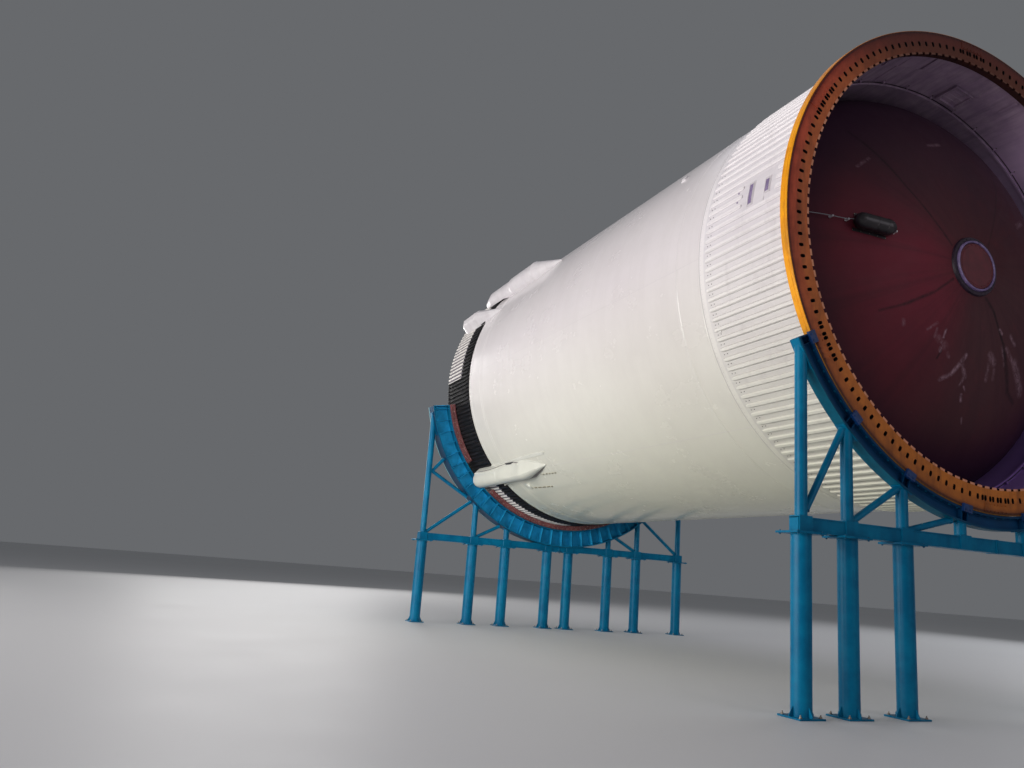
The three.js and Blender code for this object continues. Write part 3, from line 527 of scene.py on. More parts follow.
def mat_quilt(name="heat_shield_blanket"):
    """Grey blanket over the base plate, stitched in squares that puff between the seams."""
    k = Mat(name)
    n_ = k.node("ShaderNodeSeparateXYZ")
    k.put(n_.inputs[0], k.pos)
    _, y, z = n_.outputs
    fy = k.math("PINGPONG", k.math("ADD", y, 50.0), 0.14)
    fz = k.math("PINGPONG", k.math("ADD", z, 50.0), 0.14)
    puff = k.math("MINIMUM", fy, fz)
    mid = k.noise(3.0, 5, 0.62)
    col = k.mix(k.ramp(mid, [(0.35, 0.0), (0.7, 1.0)]), lin(150, 150, 154), lin(176, 175, 178))
    col = k.mix(k.ramp(puff, [(0.0, 0.75), (0.012, 0.0)]), col, lin(96, 95, 100))
    weave = k.noise(1.0, 2, 0.5, vec=k.scaled((260, 260, 260)))
    n = k.bump(weave, 0.25, 0.0006)
    n = k.bump(k.ramp(puff, [(0.0, 0.0), (0.06, 0.8), (0.14, 1.0)], True), 0.8, 0.012, n)
    n = k.bump(k.noise(9, 5, 0.6), 0.35, 0.008, n)
    return k.finish(col, 0.62, 0.0, n)


M_TANK = mat_tank()
# the fairings' white takes painted shade below the axis
M_WHITE = paint("fairing_white_paint", lin(216, 211, 214), lin(204, 198, 202), lin(222, 218, 219), grime=lin(166, 158, 156), grime_amount=0.2, coat=0.25, low=lin(204, 206, 184))
M_SKIRT = mat_skirt_white()
M_PATTERN = mat_aft_pattern()
M_RING = mat_ring()
M_DOME = mat_dome()
M_INNER = mat_inner()
M_HATCH = paint("hatch_cover_coat", lin(96, 30, 42), lin(74, 24, 34), lin(110, 40, 48), rough=(0.45, 0.6), grime=lin(40, 16, 24), scale=2.2, coat=0.0)
M_COLLAR = paint("hatch_collar_coat", lin(36, 18, 36), lin(24, 12, 26), lin(48, 28, 50), rough=(0.4, 0.55), grime=lin(20, 10, 20), scale=2.2, coat=0.0)
M_RIM = paint("hatch_rim_paint", lin(112, 92, 140), lin(74, 58, 100), lin(150, 130, 176), rough=(0.3, 0.45), grime=lin(48, 36, 66), scale=3.0, coat=0.2)
M_SLOT = paint("slot_grey", lin(128, 112, 148), lin(104, 90, 124), lin(146, 130, 164), grime=lin(80, 70, 92), scale=3.0, coat=0.0)
# near-black grey that stands for shadow in gaps and mouths
M_SHADOW = paint("painted_shadow_grey", lin(52, 50, 56), lin(34, 32, 38), lin(70, 68, 74), rough=(0.5, 0.65), grime=lin(26, 24, 28), scale=2.0, coat=0.0)
M_DARK = paint("dark_coat", lin(26, 20, 24), lin(16, 12, 16), lin(40, 32, 36), rough=(0.35, 0.5), grime=lin(70, 58, 60), grime_amount=0.15, scale=2.0)
M_BROWN = paint("pad_red_brown", lin(104, 46, 48), lin(66, 28, 34), lin(134, 76, 72), rough=(0.5, 0.68), grime=lin(48, 24, 28), chips=lin(164, 124, 118), chip_amount=0.8, scale=2.2, coat=0.0)
M_BLUE = paint("cradle_blue_paint", lin(0, 104, 142), lin(0, 80, 118), lin(6, 118, 154), rough=(0.28, 0.42), grime=lin(0, 56, 86), grime_amount=0.3,
               chips=lin(30, 116, 142), chip_amount=0.1, coat=0.0, spec=0.12)
M_BLUE_DARK = paint("cradle_bolt_paint", lin(0, 86, 122), lin(0, 60, 92), lin(12, 106, 140), rough=(0.34, 0.5), scale=4.0, coat=0.0, spec=0.15)
M_GIRDER = mat_girder()
# the clamps get a darker copy of the cradle blue: painted shade
M_CLAMP = paint("clamp_blue_shaded_paint", lin(6, 44, 96), lin(2, 28, 62), lin(16, 62, 122), rough=(0.3, 0.45), scale=3.0, coat=0.2)
# a grey for painted shadow lines beside the pods and their flanges
M_SHADE = paint("painted_shade_grey", lin(116, 110, 106), lin(88, 82, 80), lin(136, 130, 124), rough=(0.5, 0.65), scale=3.0, coat=0.0)
# dark olive for the small tubes, painted as shadow lines
M_LINE = paint("olive_shadow_line_paint", lin(118, 112, 92), lin(92, 86, 70), lin(140, 134, 112), rough=(0.4, 0.55), scale=3.0, coat=0.0)
M_GREEN = paint("structure_primer", lin(122, 130, 88), lin(92, 100, 66), lin(142, 148, 104), rough=(0.42, 0.6), grime=lin(66, 64, 48), scale=1.5)
M_SHIELD = mat_quilt()
M_GREY = paint("grey_coat", lin(146, 146, 150), lin(118, 118, 124), lin(166, 166, 170), rough=(0.4, 0.55), grime=lin(86, 84, 86), scale=1.4)
M_BELL = mat_bell()
M_STEEL = metal("machined_steel", lin(158, 156, 154), lin(188, 186, 182), brushed=True)
M_IRON = metal("engine_castings", lin(104, 100, 98), lin(138, 132, 128), rough=(0.35, 0.55), metallic=0.75)
M_CHROME = metal("polished_rod", lin(214, 214, 216), lin(232, 232, 232), rough=(0.06, 0.14), metallic=1.0)
M_FOIL = metal("duct_jacket", lin(170, 160, 140), lin(196, 186, 160), rough=(0.28, 0.45), metallic=0.8)
M_BOLT = metal("bolt_steel", lin(120, 112, 104), lin(160, 150, 138), rough=(0.35, 0.5), metallic=0.8, scale=3.0)


# ------------------------------------------------------------------ mesh building
def grid_faces(nu, nv, wu=False, wv=False):
    i = np.arange(nu if wu else nu - 1)
    j = np.arange(nv if wv else nv - 1)
    I, J = np.meshgrid(i, j, indexing="ij")
    I2, J2 = (I + 1) % nu, (J + 1) % nv
    return np.stack([I * nv + J, I2 * nv + J, I2 * nv + J2, I * nv + J2], -1).reshape(-1, 4)


class Part:
    """One visible piece: shells are gathered, then made into one mesh that rides on its body."""

    def __init__(self, name):
        self.name, self.V, self.F, self.I, self.mats, self.n = name, [], [], [], [], 0

    def _m(self, m):
        if m not in self.mats:
            self.mats.append(m)
        return self.mats.index(m)

    def add(self, V, faces, m):
        V = np.asarray(V, float).reshape(-1, 3)
        k = self._m(m)
        for f in faces:
            f = np.asarray(f, int)
            if f.ndim == 1:
                f = f[None, :]
            if len(f):
                self.F.append(f + self.n)
                self.I.append(np.full(len(f), k))
        self.V.append(V)
        self.n += len(V)

    def grid(self, pts, m, wu=False, wv=False):
        pts = np.asarray(pts, float)
        self.add(pts, [grid_faces(pts.shape[0], pts.shape[1], wu, wv)], m)

    def make(self, body="stage", slot=None, replaces=(), sharp=32, merge=1e-5):
        V = np.concatenate(self.V)
        loops = np.concatenate([f.ravel() for f in self.F]).astype(np.int32)
        size = np.concatenate([np.full(len(f), f.shape[1]) for f in self.F])
        start = np.concatenate([[0], np.cumsum(size)[:-1]]).astype(np.int32)
        me = bpy.data.meshes.new(self.name)
        me.vertices.add(len(V))
        me.vertices.foreach_set("co", V.astype(np.float32).ravel())
        me.loops.add(len(loops))
        me.loops.foreach_set("vertex_index", loops)
        me.polygons.add(len(size))
        me.polygons.foreach_set("loop_start", start)
        me.polygons.foreach_set("material_index", np.concatenate(self.I).astype(np.int32))
        for m in self.mats:
            me.materials.append(m)
        me.update(calc_edges=True)
        bm = bmesh.new()
        bm.from_mesh(me)
        bmesh.ops.remove_doubles(bm, verts=bm.verts, dist=merge)
        bmesh.ops.recalc_face_normals(bm, faces=bm.faces)
        bm.to_mesh(me)
        bm.free()
        me.validate()
        me.polygons.foreach_set("use_smooth", np.ones(len(me.polygons), bool))
        me.set_sharp_from_angle(angle=rad(sharp))
        ob = bpy.data.objects.new(self.name, me)
        bpy.context.scene.collection.objects.link(ob)
        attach(ob, body)
        if replaces:
            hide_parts(*replaces)
        return ob


def frame_of(d):
    """Two unit vectors square to d."""
    d = np.asarray(d, float)
    d = d / np.linalg.norm(d)
    a = np.array([0, 0, 1.0]) if abs(d[2]) < 0.9 else np.array([1.0, 0, 0])
    u = np.cross(a, d)
    u /= np.linalg.norm(u)
    return u, np.cross(d, u), d


def revolve(part, prof, m, n=192, yc=0.0, zc=0.0, closed=True, s0=0.0, a0=0.0):
    """Profile [(s, r)] turned about an axis parallel to the stage's."""
    prof = np.asarray(prof, float)
    A = np.arange(n) * 360.0 / n + a0
    pts = P(prof[None, :, 0] + s0, A[:, None], prof[None, :, 1], yc, zc)
    part.grid(pts, m, wu=True, wv=closed)


def sweep(part, sec, angles, m):
    """Section [(s, r)] swept through the angles about the stage's axis, with capped ends."""
    sec = np.asarray(sec, float)
    A = np.asarray(angles, float)
    pts = P(sec[None, :, 0], A[:, None], sec[None, :, 1])
    k, n = len(A), len(sec)
    part.add(pts, [grid_faces(k, n, False, True), np.arange(n), np.arange(n) + (k - 1) * n], m)


def rings(part, R, m, cap=True, wrap=True):
    """Skin over rings [k, n, 3], capped with one face at each end."""
    R = np.asarray(R, float)
    k, n = R.shape[:2]
    f = [grid_faces(k, n, False, wrap)]
    if cap:
        f += [np.arange(n), np.arange(n) + (k - 1) * n]
    part.add(R, f, m)


def tube(part, p, q, r, m, n=24, r2=None, bev=0.0):
    p, q = np.asarray(p, float), np.asarray(q, float)
    u, v, d = frame_of(q - p)
    L = np.linalg.norm(q - p)
    r2 = r if r2 is None else r2
    A = np.arange(n) * 2 * math.pi / n
    c = np.cos(A)[:, None] * u + np.sin(A)[:, None] * v
    st = [(0, r), (L, r2)] if not bev else [(0, r - bev), (bev, r), (L - bev, r2), (L, r2 - bev)]
    rings(part, [p + d * t + c * rr for t, rr in st], m)


def lathe(part, p, d, prof, m, n=32):
    """Profile [(t, r)] along axis d from p. Ends close with flat faces."""
    p = np.asarray(p, float)
    u, v, d = frame_of(d)
    A = np.arange(n) * 2 * math.pi / n
    c = np.cos(A)[:, None] * u + np.sin(A)[:, None] * v
    rings(part, [p + d * t + c * max(rr, 1e-4) for t, rr in prof], m)


def pipe(part, pts, r, m, n=14, close=False):
    """A round pipe through points, with the bends rounded by a smooth curve."""
    pts = np.asarray(pts, float)
    d = np.diff(pts, axis=0)
    T = np.vstack([d[:1], (d[:-1] / np.linalg.norm(d[:-1], axis=1)[:, None] + d[1:] / np.linalg.norm(d[1:], axis=1)[:, None]), d[-1:]])
    T /= np.linalg.norm(T, axis=1)[:, None]
    u, v, _ = frame_of(T[0])
    A = np.arange(n) * 2 * math.pi / n
    out = []
    rr = np.broadcast_to(np.asarray(r, float), (len(pts),))
    for k, (p, t) in enumerate(zip(pts, T)):
        u = u - t * np.dot(u, t)
        u /= np.linalg.norm(u)
        v = np.cross(t, u)
        out.append(p + (np.cos(A)[:, None] * u + np.sin(A)[:, None] * v) * rr[k])
    rings(part, out, m)


def smooth_path(pts, k=8):
    """Catmull-Rom curve through the points."""
    p = np.asarray(pts, float)
    p = np.vstack([2 * p[0] - p[1], p, 2 * p[-1] - p[-2]])
    out = []
    for i in range(1, len(p) - 2):
        for t in np.linspace(0, 1, k, endpoint=False):
            a, b, c, d = p[i - 1], p[i], p[i + 1], p[i + 2]
            out.append(0.5 * ((2 * b) + (c - a) * t + (2 * a - 5 * b + 4 * c - d) * t ** 2 + (3 * b - a - 3 * c + d) * t ** 3))
    out.append(p[-2])
    return np.array(out)


def bevel_box(part, lo, hi, m, b=0.006, axes=None, origin=(0, 0, 0)):
    """A box with chamfered edges. axes: three unit vectors, for a turned box about origin."""
    lo, hi = np.asarray(lo, float), np.asarray(hi, float)
    b = min(b, 0.45 * float((hi - lo).min()))
    V, idx = [], {}
    for sx in (0, 1):
        for sy in (0, 1):
            for sz in (0, 1):
                c = np.array([hi[0] if sx else lo[0], hi[1] if sy else lo[1], hi[2] if sz else lo[2]])
                i = np.array([-1 if sx else 1, -1 if sy else 1, -1 if sz else 1]) * b
                for ax in range(3):   # the copy that lies on the face square to ax
                    q = c + i
                    q[ax] = c[ax]
                    idx[(sx, sy, sz, ax)] = len(V)
                    V.append(q)
    F4, F3 = [], []
    for ax in range(3):
        o = [a for a in range(3) if a != ax]
        for sd in (0, 1):
            f = []
            for a, b_ in ((0, 0), (1, 0), (1, 1), (0, 1)):
                k = [0, 0, 0]
                k[ax], k[o[0]], k[o[1]] = sd, a, b_
                f.append(idx[(*k, ax)])
            F4.append(f)
        for a in (0, 1):
            for b_ in (0, 1):
                k0, k1 = [0, 0, 0], [0, 0, 0]
                k0[ax], k0[o[0]], k0[o[1]] = 0, a, b_
                k1[ax], k1[o[0]], k1[o[1]] = 1, a, b_
                F4.append([idx[(*k0, o[0])], idx[(*k1, o[0])], idx[(*k1, o[1])], idx[(*k0, o[1])]])
    for sx in (0, 1):
        for sy in (0, 1):
            for sz in (0, 1):
                F3.append([idx[(sx, sy, sz, a)] for a in range(3)])
    V = np.array(V)
    if axes is not None:
        V = V @ np.array(axes)
    part.add(V + np.asarray(origin, float), [F4, F3], m)


def plate(part, outline, thick, m, origin=(0, 0, 0)):
    """A flat plate: outline [k, 3] in space, moved by the vector thick."""
    a = np.asarray(outline, float) + origin
    n = len(a)
    part.add(np.vstack([a, a + np.asarray(thick, float)]), [np.arange(n), np.arange(n) + n, [[i, (i + 1) % n, (i + 1) % n + n, i + n] for i in range(n)]], m)


def studs(part, C, N, r, h, m, n=6, taper=0.85, washer=0.0):
    """Bolt heads at centres C that stand along N. washer: radius of the disc below each."""
    C, N = np.atleast_2d(np.asarray(C, float)), np.atleast_2d(np.asarray(N, float))
    N = np.broadcast_to(N, C.shape)
    N = N / np.linalg.norm(N, axis=1)[:, None]
    ref = np.where(np.abs(N[:, 2:3]) < 0.9, np.array([[0, 0, 1.0]]), np.array([[1.0, 0, 0]]))
    U = np.cross(ref, N)
    U /= np.linalg.norm(U, axis=1)[:, None]
    W = np.cross(N, U)

    def prism(r0, r1, h0, h1, h2, k):
        A = np.arange(k) * 2 * math.pi / k
        ring = np.cos(A)[None, :, None] * U[:, None] + np.sin(A)[None, :, None] * W[:, None]
        V = np.stack([C[:, None] + N[:, None] * h0 + ring * r0, C[:, None] + N[:, None] * h1 + ring * r0, C[:, None] + N[:, None] * h2 + ring * r1], 1)   # [c, 3, k, 3]
        one = grid_faces(3, k, False, True)
        off = (np.arange(len(C)) * 3 * k)[:, None, None]
        part.add(V, [(one[None] + off).reshape(-1, 4), np.arange(k)[None] + off[:, 0], np.arange(k)[None] + 2 * k + off[:, 0]], m)

    if washer:
        prism(washer, washer * 0.96, -0.002, h * 0.16, h * 0.22, 12)
        prism(r, r * taper, h * 0.22, h * 0.9, h, n)
    else:
        prism(r, r * taper, -0.002, h * 0.85, h, n)


def arc(a0, a1, step):
    return np.linspace(a0, a1, max(2, int(round(abs(a1 - a0) / step)) + 1))


# ------------------------------------------------------------------ forward handling ring
SPLICES = [-120, -60, 0, 60, 120, 180]


def hole_angles():
    """Bolt holes 2.5 degrees apart in six segments, each segment's set half a step from the next, doubled at the splices."""
    out = set()
    for k in range(144):
        for phase, odd in ((1.87, 0), (0.67, 1)):
            a = -180 + 2.5 * k + phase
            seg = int(math.floor((a + 180) / 60))
            near = min(abs((a - sp + 180) % 360 - 180) for sp in SPLICES)
            if seg % 2 == odd or near < 4.6:
                out.add(round(a, 3))
    return sorted(out)


def forward_ring():
    p = Part("forward_ring")
    S0, S1, RO = 0.0, 0.1827, 5.2495
    # face: polar cells; every cell that holds a bolt hole gets a round hole, every notch cell is left out
    step = 0.3125
    na = 1152
    A = -180 + np.arange(na) * step
    # columns are shifted a little so that edges fall on the notches and the holes
    R = np.array([4.712, 4.757, 4.885, 5.015, 5.06, 5.15, 5.238])
    nr = len(R)
    TOOTH = 0.055          # the toothed lip is only this deep; the ring is wider open behind it
    notch = np.zeros(na, bool)
    for k in range(144):
        c = -180 + 2.5 * k + 1.25
        i = int(round((c + 180) / step))
        for d in (-2, -1, 0):
            notch[(i + d) % na] = True
    holes = []
    for h in hole_angles():
        i = int(round((h + 180) / step - 0.5)) % na
        if all(min((i - o) % na, (o - i) % na) >= 3 for o in holes):
            holes.append(i)
    for s, lip in ((S0, True), (TOOTH, False), (S1, False)):
        V = P(s, A[:, None], R[None, :])
        F = []
        for j in range(nr - 1):
            ok = np.ones(na, bool)
            if j == 0:
                ok = ~notch
                if s == S1:
                    continue
            elif s == TOOTH:
                continue
            if j == 2:
                for i in holes:
                    for d in (-1, 0, 1):
                        ok[(i + d) % na] = False
            i = np.nonzero(ok)[0]
            F.append(np.stack([i * nr + j, ((i + 1) % na) * nr + j, ((i + 1) % na) * nr + j + 1, i * nr + j + 1], -1))
        p.add(V, F, M_RING)
    # the holes: a patch three cells wide with an oval hole; its wall and its closed bottom are dark, painted shade
    # inside the hole
    HA, HB = 0.036, 0.056
    for s, d in ((S0, 0.075), (S1, -0.06)):
        VV, TT, WW, EE = [], [], [], []
        for q, i in enumerate(sorted(holes)):
            edge_a = [A[i] + step * k for k in (-1, 0, 1, 2)]
            am, rm = A[i] + step / 2, 4.95
            oa = edge_a + edge_a[::-1]
            orr = [R[2]] * 4 + [R[3]] * 4
            ts = [math.atan2((r_ - rm) / HB, rad(a_ - am) * rm / HA) for a_, r_ in zip(oa, orr)]
            ts = ts + [ts[0] + 2 * math.pi]
            tt = []
            for k in range(8):
                lo_, hi_ = ts[k], ts[k + 1]
                while hi_ < lo_:
                    hi_ += 2 * math.pi
                tt += [lo_, (lo_ + hi_) / 2]
            tt = np.array(tt)
            sq = lambda x: np.sign(x) * np.abs(x) ** 0.62
            ang = am + np.degrees(sq(np.cos(tt)) * HA / rm)
            rr = rm + sq(np.sin(tt)) * HB
            o = q * 40
            VV += [P(s, np.array(oa), np.array(orr)), P(s, ang, rr), P(s + d, ang, rr)]
            for k in range(8):
                c, cn = o + k, o + (k + 1) % 8
                p0, p1, p2 = (o + 8 + (2 * k + e_) % 16 for e_ in (0, 1, 2))
                TT += [[c, p0, p1], [c, p1, cn], [cn, p1, p2]]
            for k in range(16):
                WW.append([o + 8 + k, o + 8 + (k + 1) % 16, o + 24 + (k + 1) % 16, o + 24 + k])
            EE.append([o + 24 + k for k in range(16)])
        p.add(np.vstack(VV), [np.array(TT)], M_RING)
        base = p.n - len(np.vstack(VV))
        k = p._m(M_DARK)
        for arr in (WW, EE):
            p.F.append(np.array(arr) + base)
            p.I.append(np.full(len(arr), k))
    # inner edge: walls of the teeth and notches
    cut = []
    for i in range(na):
        a0, a1 = A[i], A[i] + step
        cut.append(P(np.array([TOOTH, S1, S1, TOOTH]), np.array([a0, a0, a1, a1]), 4.757))
        cut.append(P(np.array([S0, TOOTH, TOOTH, S0]), np.array([a0, a0, a1, a1]), 4.757 if notch[i] else 4.712))
        nxt = notch[(i + 1) % na]
        if nxt != notch[i]:
            cut.append(P(np.array([S0, TOOTH, TOOTH, S0]), a1, np.array([4.712, 4.712, 4.757, 4.757])))
    p.add(np.vstack(cut), [np.arange(4 * len(cut)).reshape(-1, 4)], M_RING)
    # rim: chamfers, and two shallow grooves round it
    prof = [(S0, 5.238), (0.004, RO - 0.004), (0.012, RO), (0.052, RO), (0.056, RO - 0.005), (0.062, RO - 0.005), (0.066, RO), (0.15, RO), (0.176, RO), (S1 - 0.003, RO - 0.003), (S1, 5.238)]
    revolve(p, prof, M_RING, 384, closed=False, a0=-180)
    ring = p.make(slot="ring_yellow", replaces=["forward_handling_ring"], merge=2e-5)
    # splice plates where the six segments meet, and bolt heads on the outer face
    q = Part("forward_ring_splices")
    for sp in SPLICES:
        sweep(q, [(-0.0, 5.02), (-0.012, 5.024), (-0.012, 5.222), (-0.0, 5.226)], arc(sp - 3.6, sp + 3.6, 0.6), M_RING)
        C, N = [], []
        for da in (-3.0, -1.8, -0.6, 0.6, 1.8, 3.0):
            for rr in (5.055, 5.19):
                C.append(P(-0.012, sp + da, rr))
        studs(q, np.array(C), (1, 0, 0), 0.014, 0.014, M_RING, washer=0.022)
    C = [P(0.0, a, 5.205) for a in np.arange(-177.5, 180, 7.5) if min(abs((a - sp + 180) % 360 - 180) for sp in SPLICES) > 5]
    studs(q, np.array(C), (1, 0, 0), 0.012, 0.010, M_RING, washer=0.018)
    q.make(slot="ring_yellow")
    return ring


# ------------------------------------------------------------------ skirts
def hats(s0, s1, rows_extra, count, phase, wb, wt, height, r0, fade, patch=None):
    """Outer surface of a skirt with hat stringers pressed on it, as one sheet. Returns points [angle, station]."""
    rows = sorted(set(rows_extra))
    S = np.array(rows)
    pitch = 360.0 / count
    cols = np.array([-pitch / 2, -(pitch / 2 + wb) / 2, -wb, -wt, wt, wb, (pitch / 2 + wb) / 2])
    lift = np.array([0, 0, 0, 1, 1, 0, 0.0])
    A0 = -180 + phase + pitch * np.arange(count)
    f = fade(S)                                     # [rows]
    Fh = np.broadcast_to(f, (count, len(S))).copy()
    if patch:
        for k, a in enumerate(A0):
            a = (a + 180) % 360 - 180
            for lo, hi, p0, p1 in patch:
                if lo < a < hi:
                    d = np.minimum(np.abs(S - p0), np.abs(S - p1))
                    inside = (S > p0) & (S < p1)
                    g = np.where(inside, 0.0, np.sqrt(1 - (1 - np.clip(d / 0.11, 0, 1)) ** 2))
                    Fh[k] = np.minimum(Fh[k], g)
    pts = np.zeros((count * len(cols), len(S), 3))
    for j, (c, l) in enumerate(zip(cols, lift)):
        w = np.where(abs(c) <= wb + 1e-9, 0.45 + 0.55 * Fh, 1.0)
        ang = A0[:, None] + c * w
        r = r0 + height * l * Fh ** 0.75
        pts[j::len(cols)] = P(S[None, :], ang, r)
    return pts


def end_rows(s, sign, length=0.15):
    return [s + sign * length * u for u in (0, 0.02, 0.07, 0.16, 0.32, 0.6, 1.0)]


def forward_skirt():
    p = Part("forward_skirt_shell")
    s0, s1 = 0.1835, 2.9995
    fade = lambda S: np.sqrt(1 - (1 - np.clip(np.minimum((S - 0.2) / 0.03, (2.78 - S) / 0.17), 0, 1)) ** 2)
    rows = [s0, 0.2, 0.204, 0.214, 0.23, 0.4] + end_rows(0.62, -1, 0.11) + end_rows(1.64, 1, 0.11) + [1.0, 1.3, 2.0, 2.3] + end_rows(2.78, -1, 0.17) + [2.86, s1]
    pts = hats(s0, s1, rows, 144, -0.3, 0.66, 0.32, 0.043, TANK_R, fade, patch=[(-104.2, -95.8, 0.62, 1.64)])
    p.grid(pts, M_SKIRT, wu=True)
    n = pts.shape[0]
    # inner wall: a doubled band behind the ring, a ledge ring ahead of the dome
    A = np.degrees(np.arctan2(pts[:, 0, 1], -(pts[:, 0, 2] - AZ)))
    prof = [(s0, 4.905), (0.845, 4.905), (0.85, 4.93), (1.568, 4.93), (1.568, 4.856), (1.573, 4.851), (1.627, 4.851), (1.632, 4.856), (1.632, 4.93), (s1, 4.93)]
    inner = P(np.array([q[0] for q in prof])[None, :], A[:, None], np.array([q[1] for q in prof])[None, :])
    p.grid(inner, M_INNER, wu=True)
    for e, (a, b) in enumerate(((pts[:, 0], inner[:, 0]), (pts[:, -1], inner[:, -1]))):
        p.grid(np.stack([a, b], 1), M_SKIRT, wu=True)
    p.make(slot="stage_white", replaces=["forward_skirt"], sharp=28)

    q = Part("forward_skirt_fittings")
    # dark screws beside each stringer's end, and a row along the joint with the tank
    A0 = -180 - 0.3 + 2.5 * np.arange(144)
    C = np.vstack([P(2.70, A0 + 1.25, TANK_R), P(2.60, A0 + 1.25, TANK_R)])
    N = np.vstack([P(0, A0 + 1.25, 1) - P(0, A0, 0)] * 2)
    studs(q, C, N, 0.011, 0.006, M_DARK, n=8)
    A1 = np.arange(-180, 180, 1.25)
    N1 = P(0, A1, 1) - P(0, A1, 0)
    studs(q, P(2.95, A1, TANK_R), N1, 0.008, 0.004, M_SKIRT, n=8)
    # vent slots in the bare patch: a pressed frame round each, and inside a flat lilac-grey sheet, painted shade in the
    # slot
    for sc, a0, a1 in ((1.37, -102.4, -97.2), (0.865, -101.3, -98.2)):
        sweep(q, [(sc - 0.10, TANK_R - 0.001), (sc - 0.088, TANK_R + 0.010), (sc + 0.088, TANK_R + 0.010), (sc + 0.10, TANK_R - 0.001)], arc(a0 - 0.6, a1 + 0.6, 0.4), M_SKIRT)
        sweep(q, [(sc - 0.056, TANK_R + 0.008), (sc - 0.056, TANK_R + 0.0115), (sc + 0.056, TANK_R + 0.0115), (sc + 0.056, TANK_R + 0.008)], arc(a0, a1, 0.4), M_SLOT)
        for sd in (-1, 1):
            sweep(q, [(sc + sd * 0.066, TANK_R + 0.009), (sc + sd * 0.064, TANK_R + 0.022), (sc + sd * 0.058, TANK_R + 0.022), (sc + sd * 0.055, TANK_R + 0.009)], arc(a0 - 0.1, a1 + 0.1, 0.4), M_SKIRT)
    # a small three-cornered marker plate and a square one, both plain
    t = [P(0.93, -97.0, TANK_R + 0.001), P(1.06, -95.9, TANK_R + 0.001), P(0.95, -95.3, TANK_R + 0.001)]
    plate(q, t, (P(0, -96, 0.008) - P(0, -96, 0)), M_WHITE)
    sweep(q, [(2.55, TANK_R - 0.001), (2.555, TANK_R + 0.02), (2.655, TANK_R + 0.02), (2.66, TANK_R - 0.001)], arc(-70.9, -69.4, 0.5), M_WHITE)
    studs(q, [P(1.80, -101.9, TANK_R), P(1.80, -99.4, TANK_R)], P(0, -101, 1) - P(0, -101, 0), 0.02, 0.012, M_SLOT, n=10)
    q.make(slot="stage_white")

    w = Part("skirt_inner_fittings")
    # hat stiffeners, brackets and rivets on the inner wall, seen through the open end
    A2 = np.arange(-180, 180, 2.5)
    N2 = P(0, A2, 0) - P(0, A2, 1)
    for sc, rr in ((0.24, 4.905), (0.80, 4.905), (0.90, 4.93), (1.53, 4.93), (1.67, 4.93)):
        studs(w, P(sc, A2, rr), N2, 0.010, 0.006, M_INNER, n=8)
    for a in np.arange(-172.5, 180, 15):
        if 162 < a < 178:
            continue
        # a tee stiffener from the doubled band to the ledge, web and flange
        sweep(w, [(0.30, 4.906), (0.30, 4.874), (0.78, 4.874), (0.78, 4.906)], arc(a - 0.12, a + 0.12, 0.24), M_INNER)
        sweep(w, [(0.30, 4.876), (0.30, 4.868), (0.78, 4.868), (0.78, 4.876)], arc(a - 0.35, a + 0.35, 0.35), M_INNER)
    for k, a in enumerate(np.arange(-177, 180, 9)):
        # small clips that hold the wiring to the ledge
        sweep(w, [(1.50, 4.931), (1.50, 4.87), (1.56, 4.87), (1.56, 4.931)], arc(a - 0.28, a + 0.28, 0.28), M_INNER)
        studs(w, [P(1.47, a, 4.93)], P(0, a, 0) - P(0, a, 1), 0.014, 0.02, M_BOLT)
    # a wire loom clipped along the ledge
    pts = P(1.535 + 0.006 * np.sin(np.radians(np.arange(0, 361, 2) * 12)), -180 + np.arange(0, 361, 2), 4.882)
    pipe(w, pts, 0.011, M_DARK, n=8)
    # splice straps where the skirt's panels meet
    for a in range(-165, 181, 30):
        sweep(w, [(0.20, 4.9055), (0.20, 4.897), (0.835, 4.897), (0.835, 4.9055)], arc(a - 0.7, a + 0.7, 0.35), M_INNER)
        sweep(w, [(0.87, 4.9305), (0.87, 4.921), (1.55, 4.921), (1.55, 4.9305)], arc(a - 0.7, a + 0.7, 0.35), M_INNER)
    w.make(slot="inner_lilac")


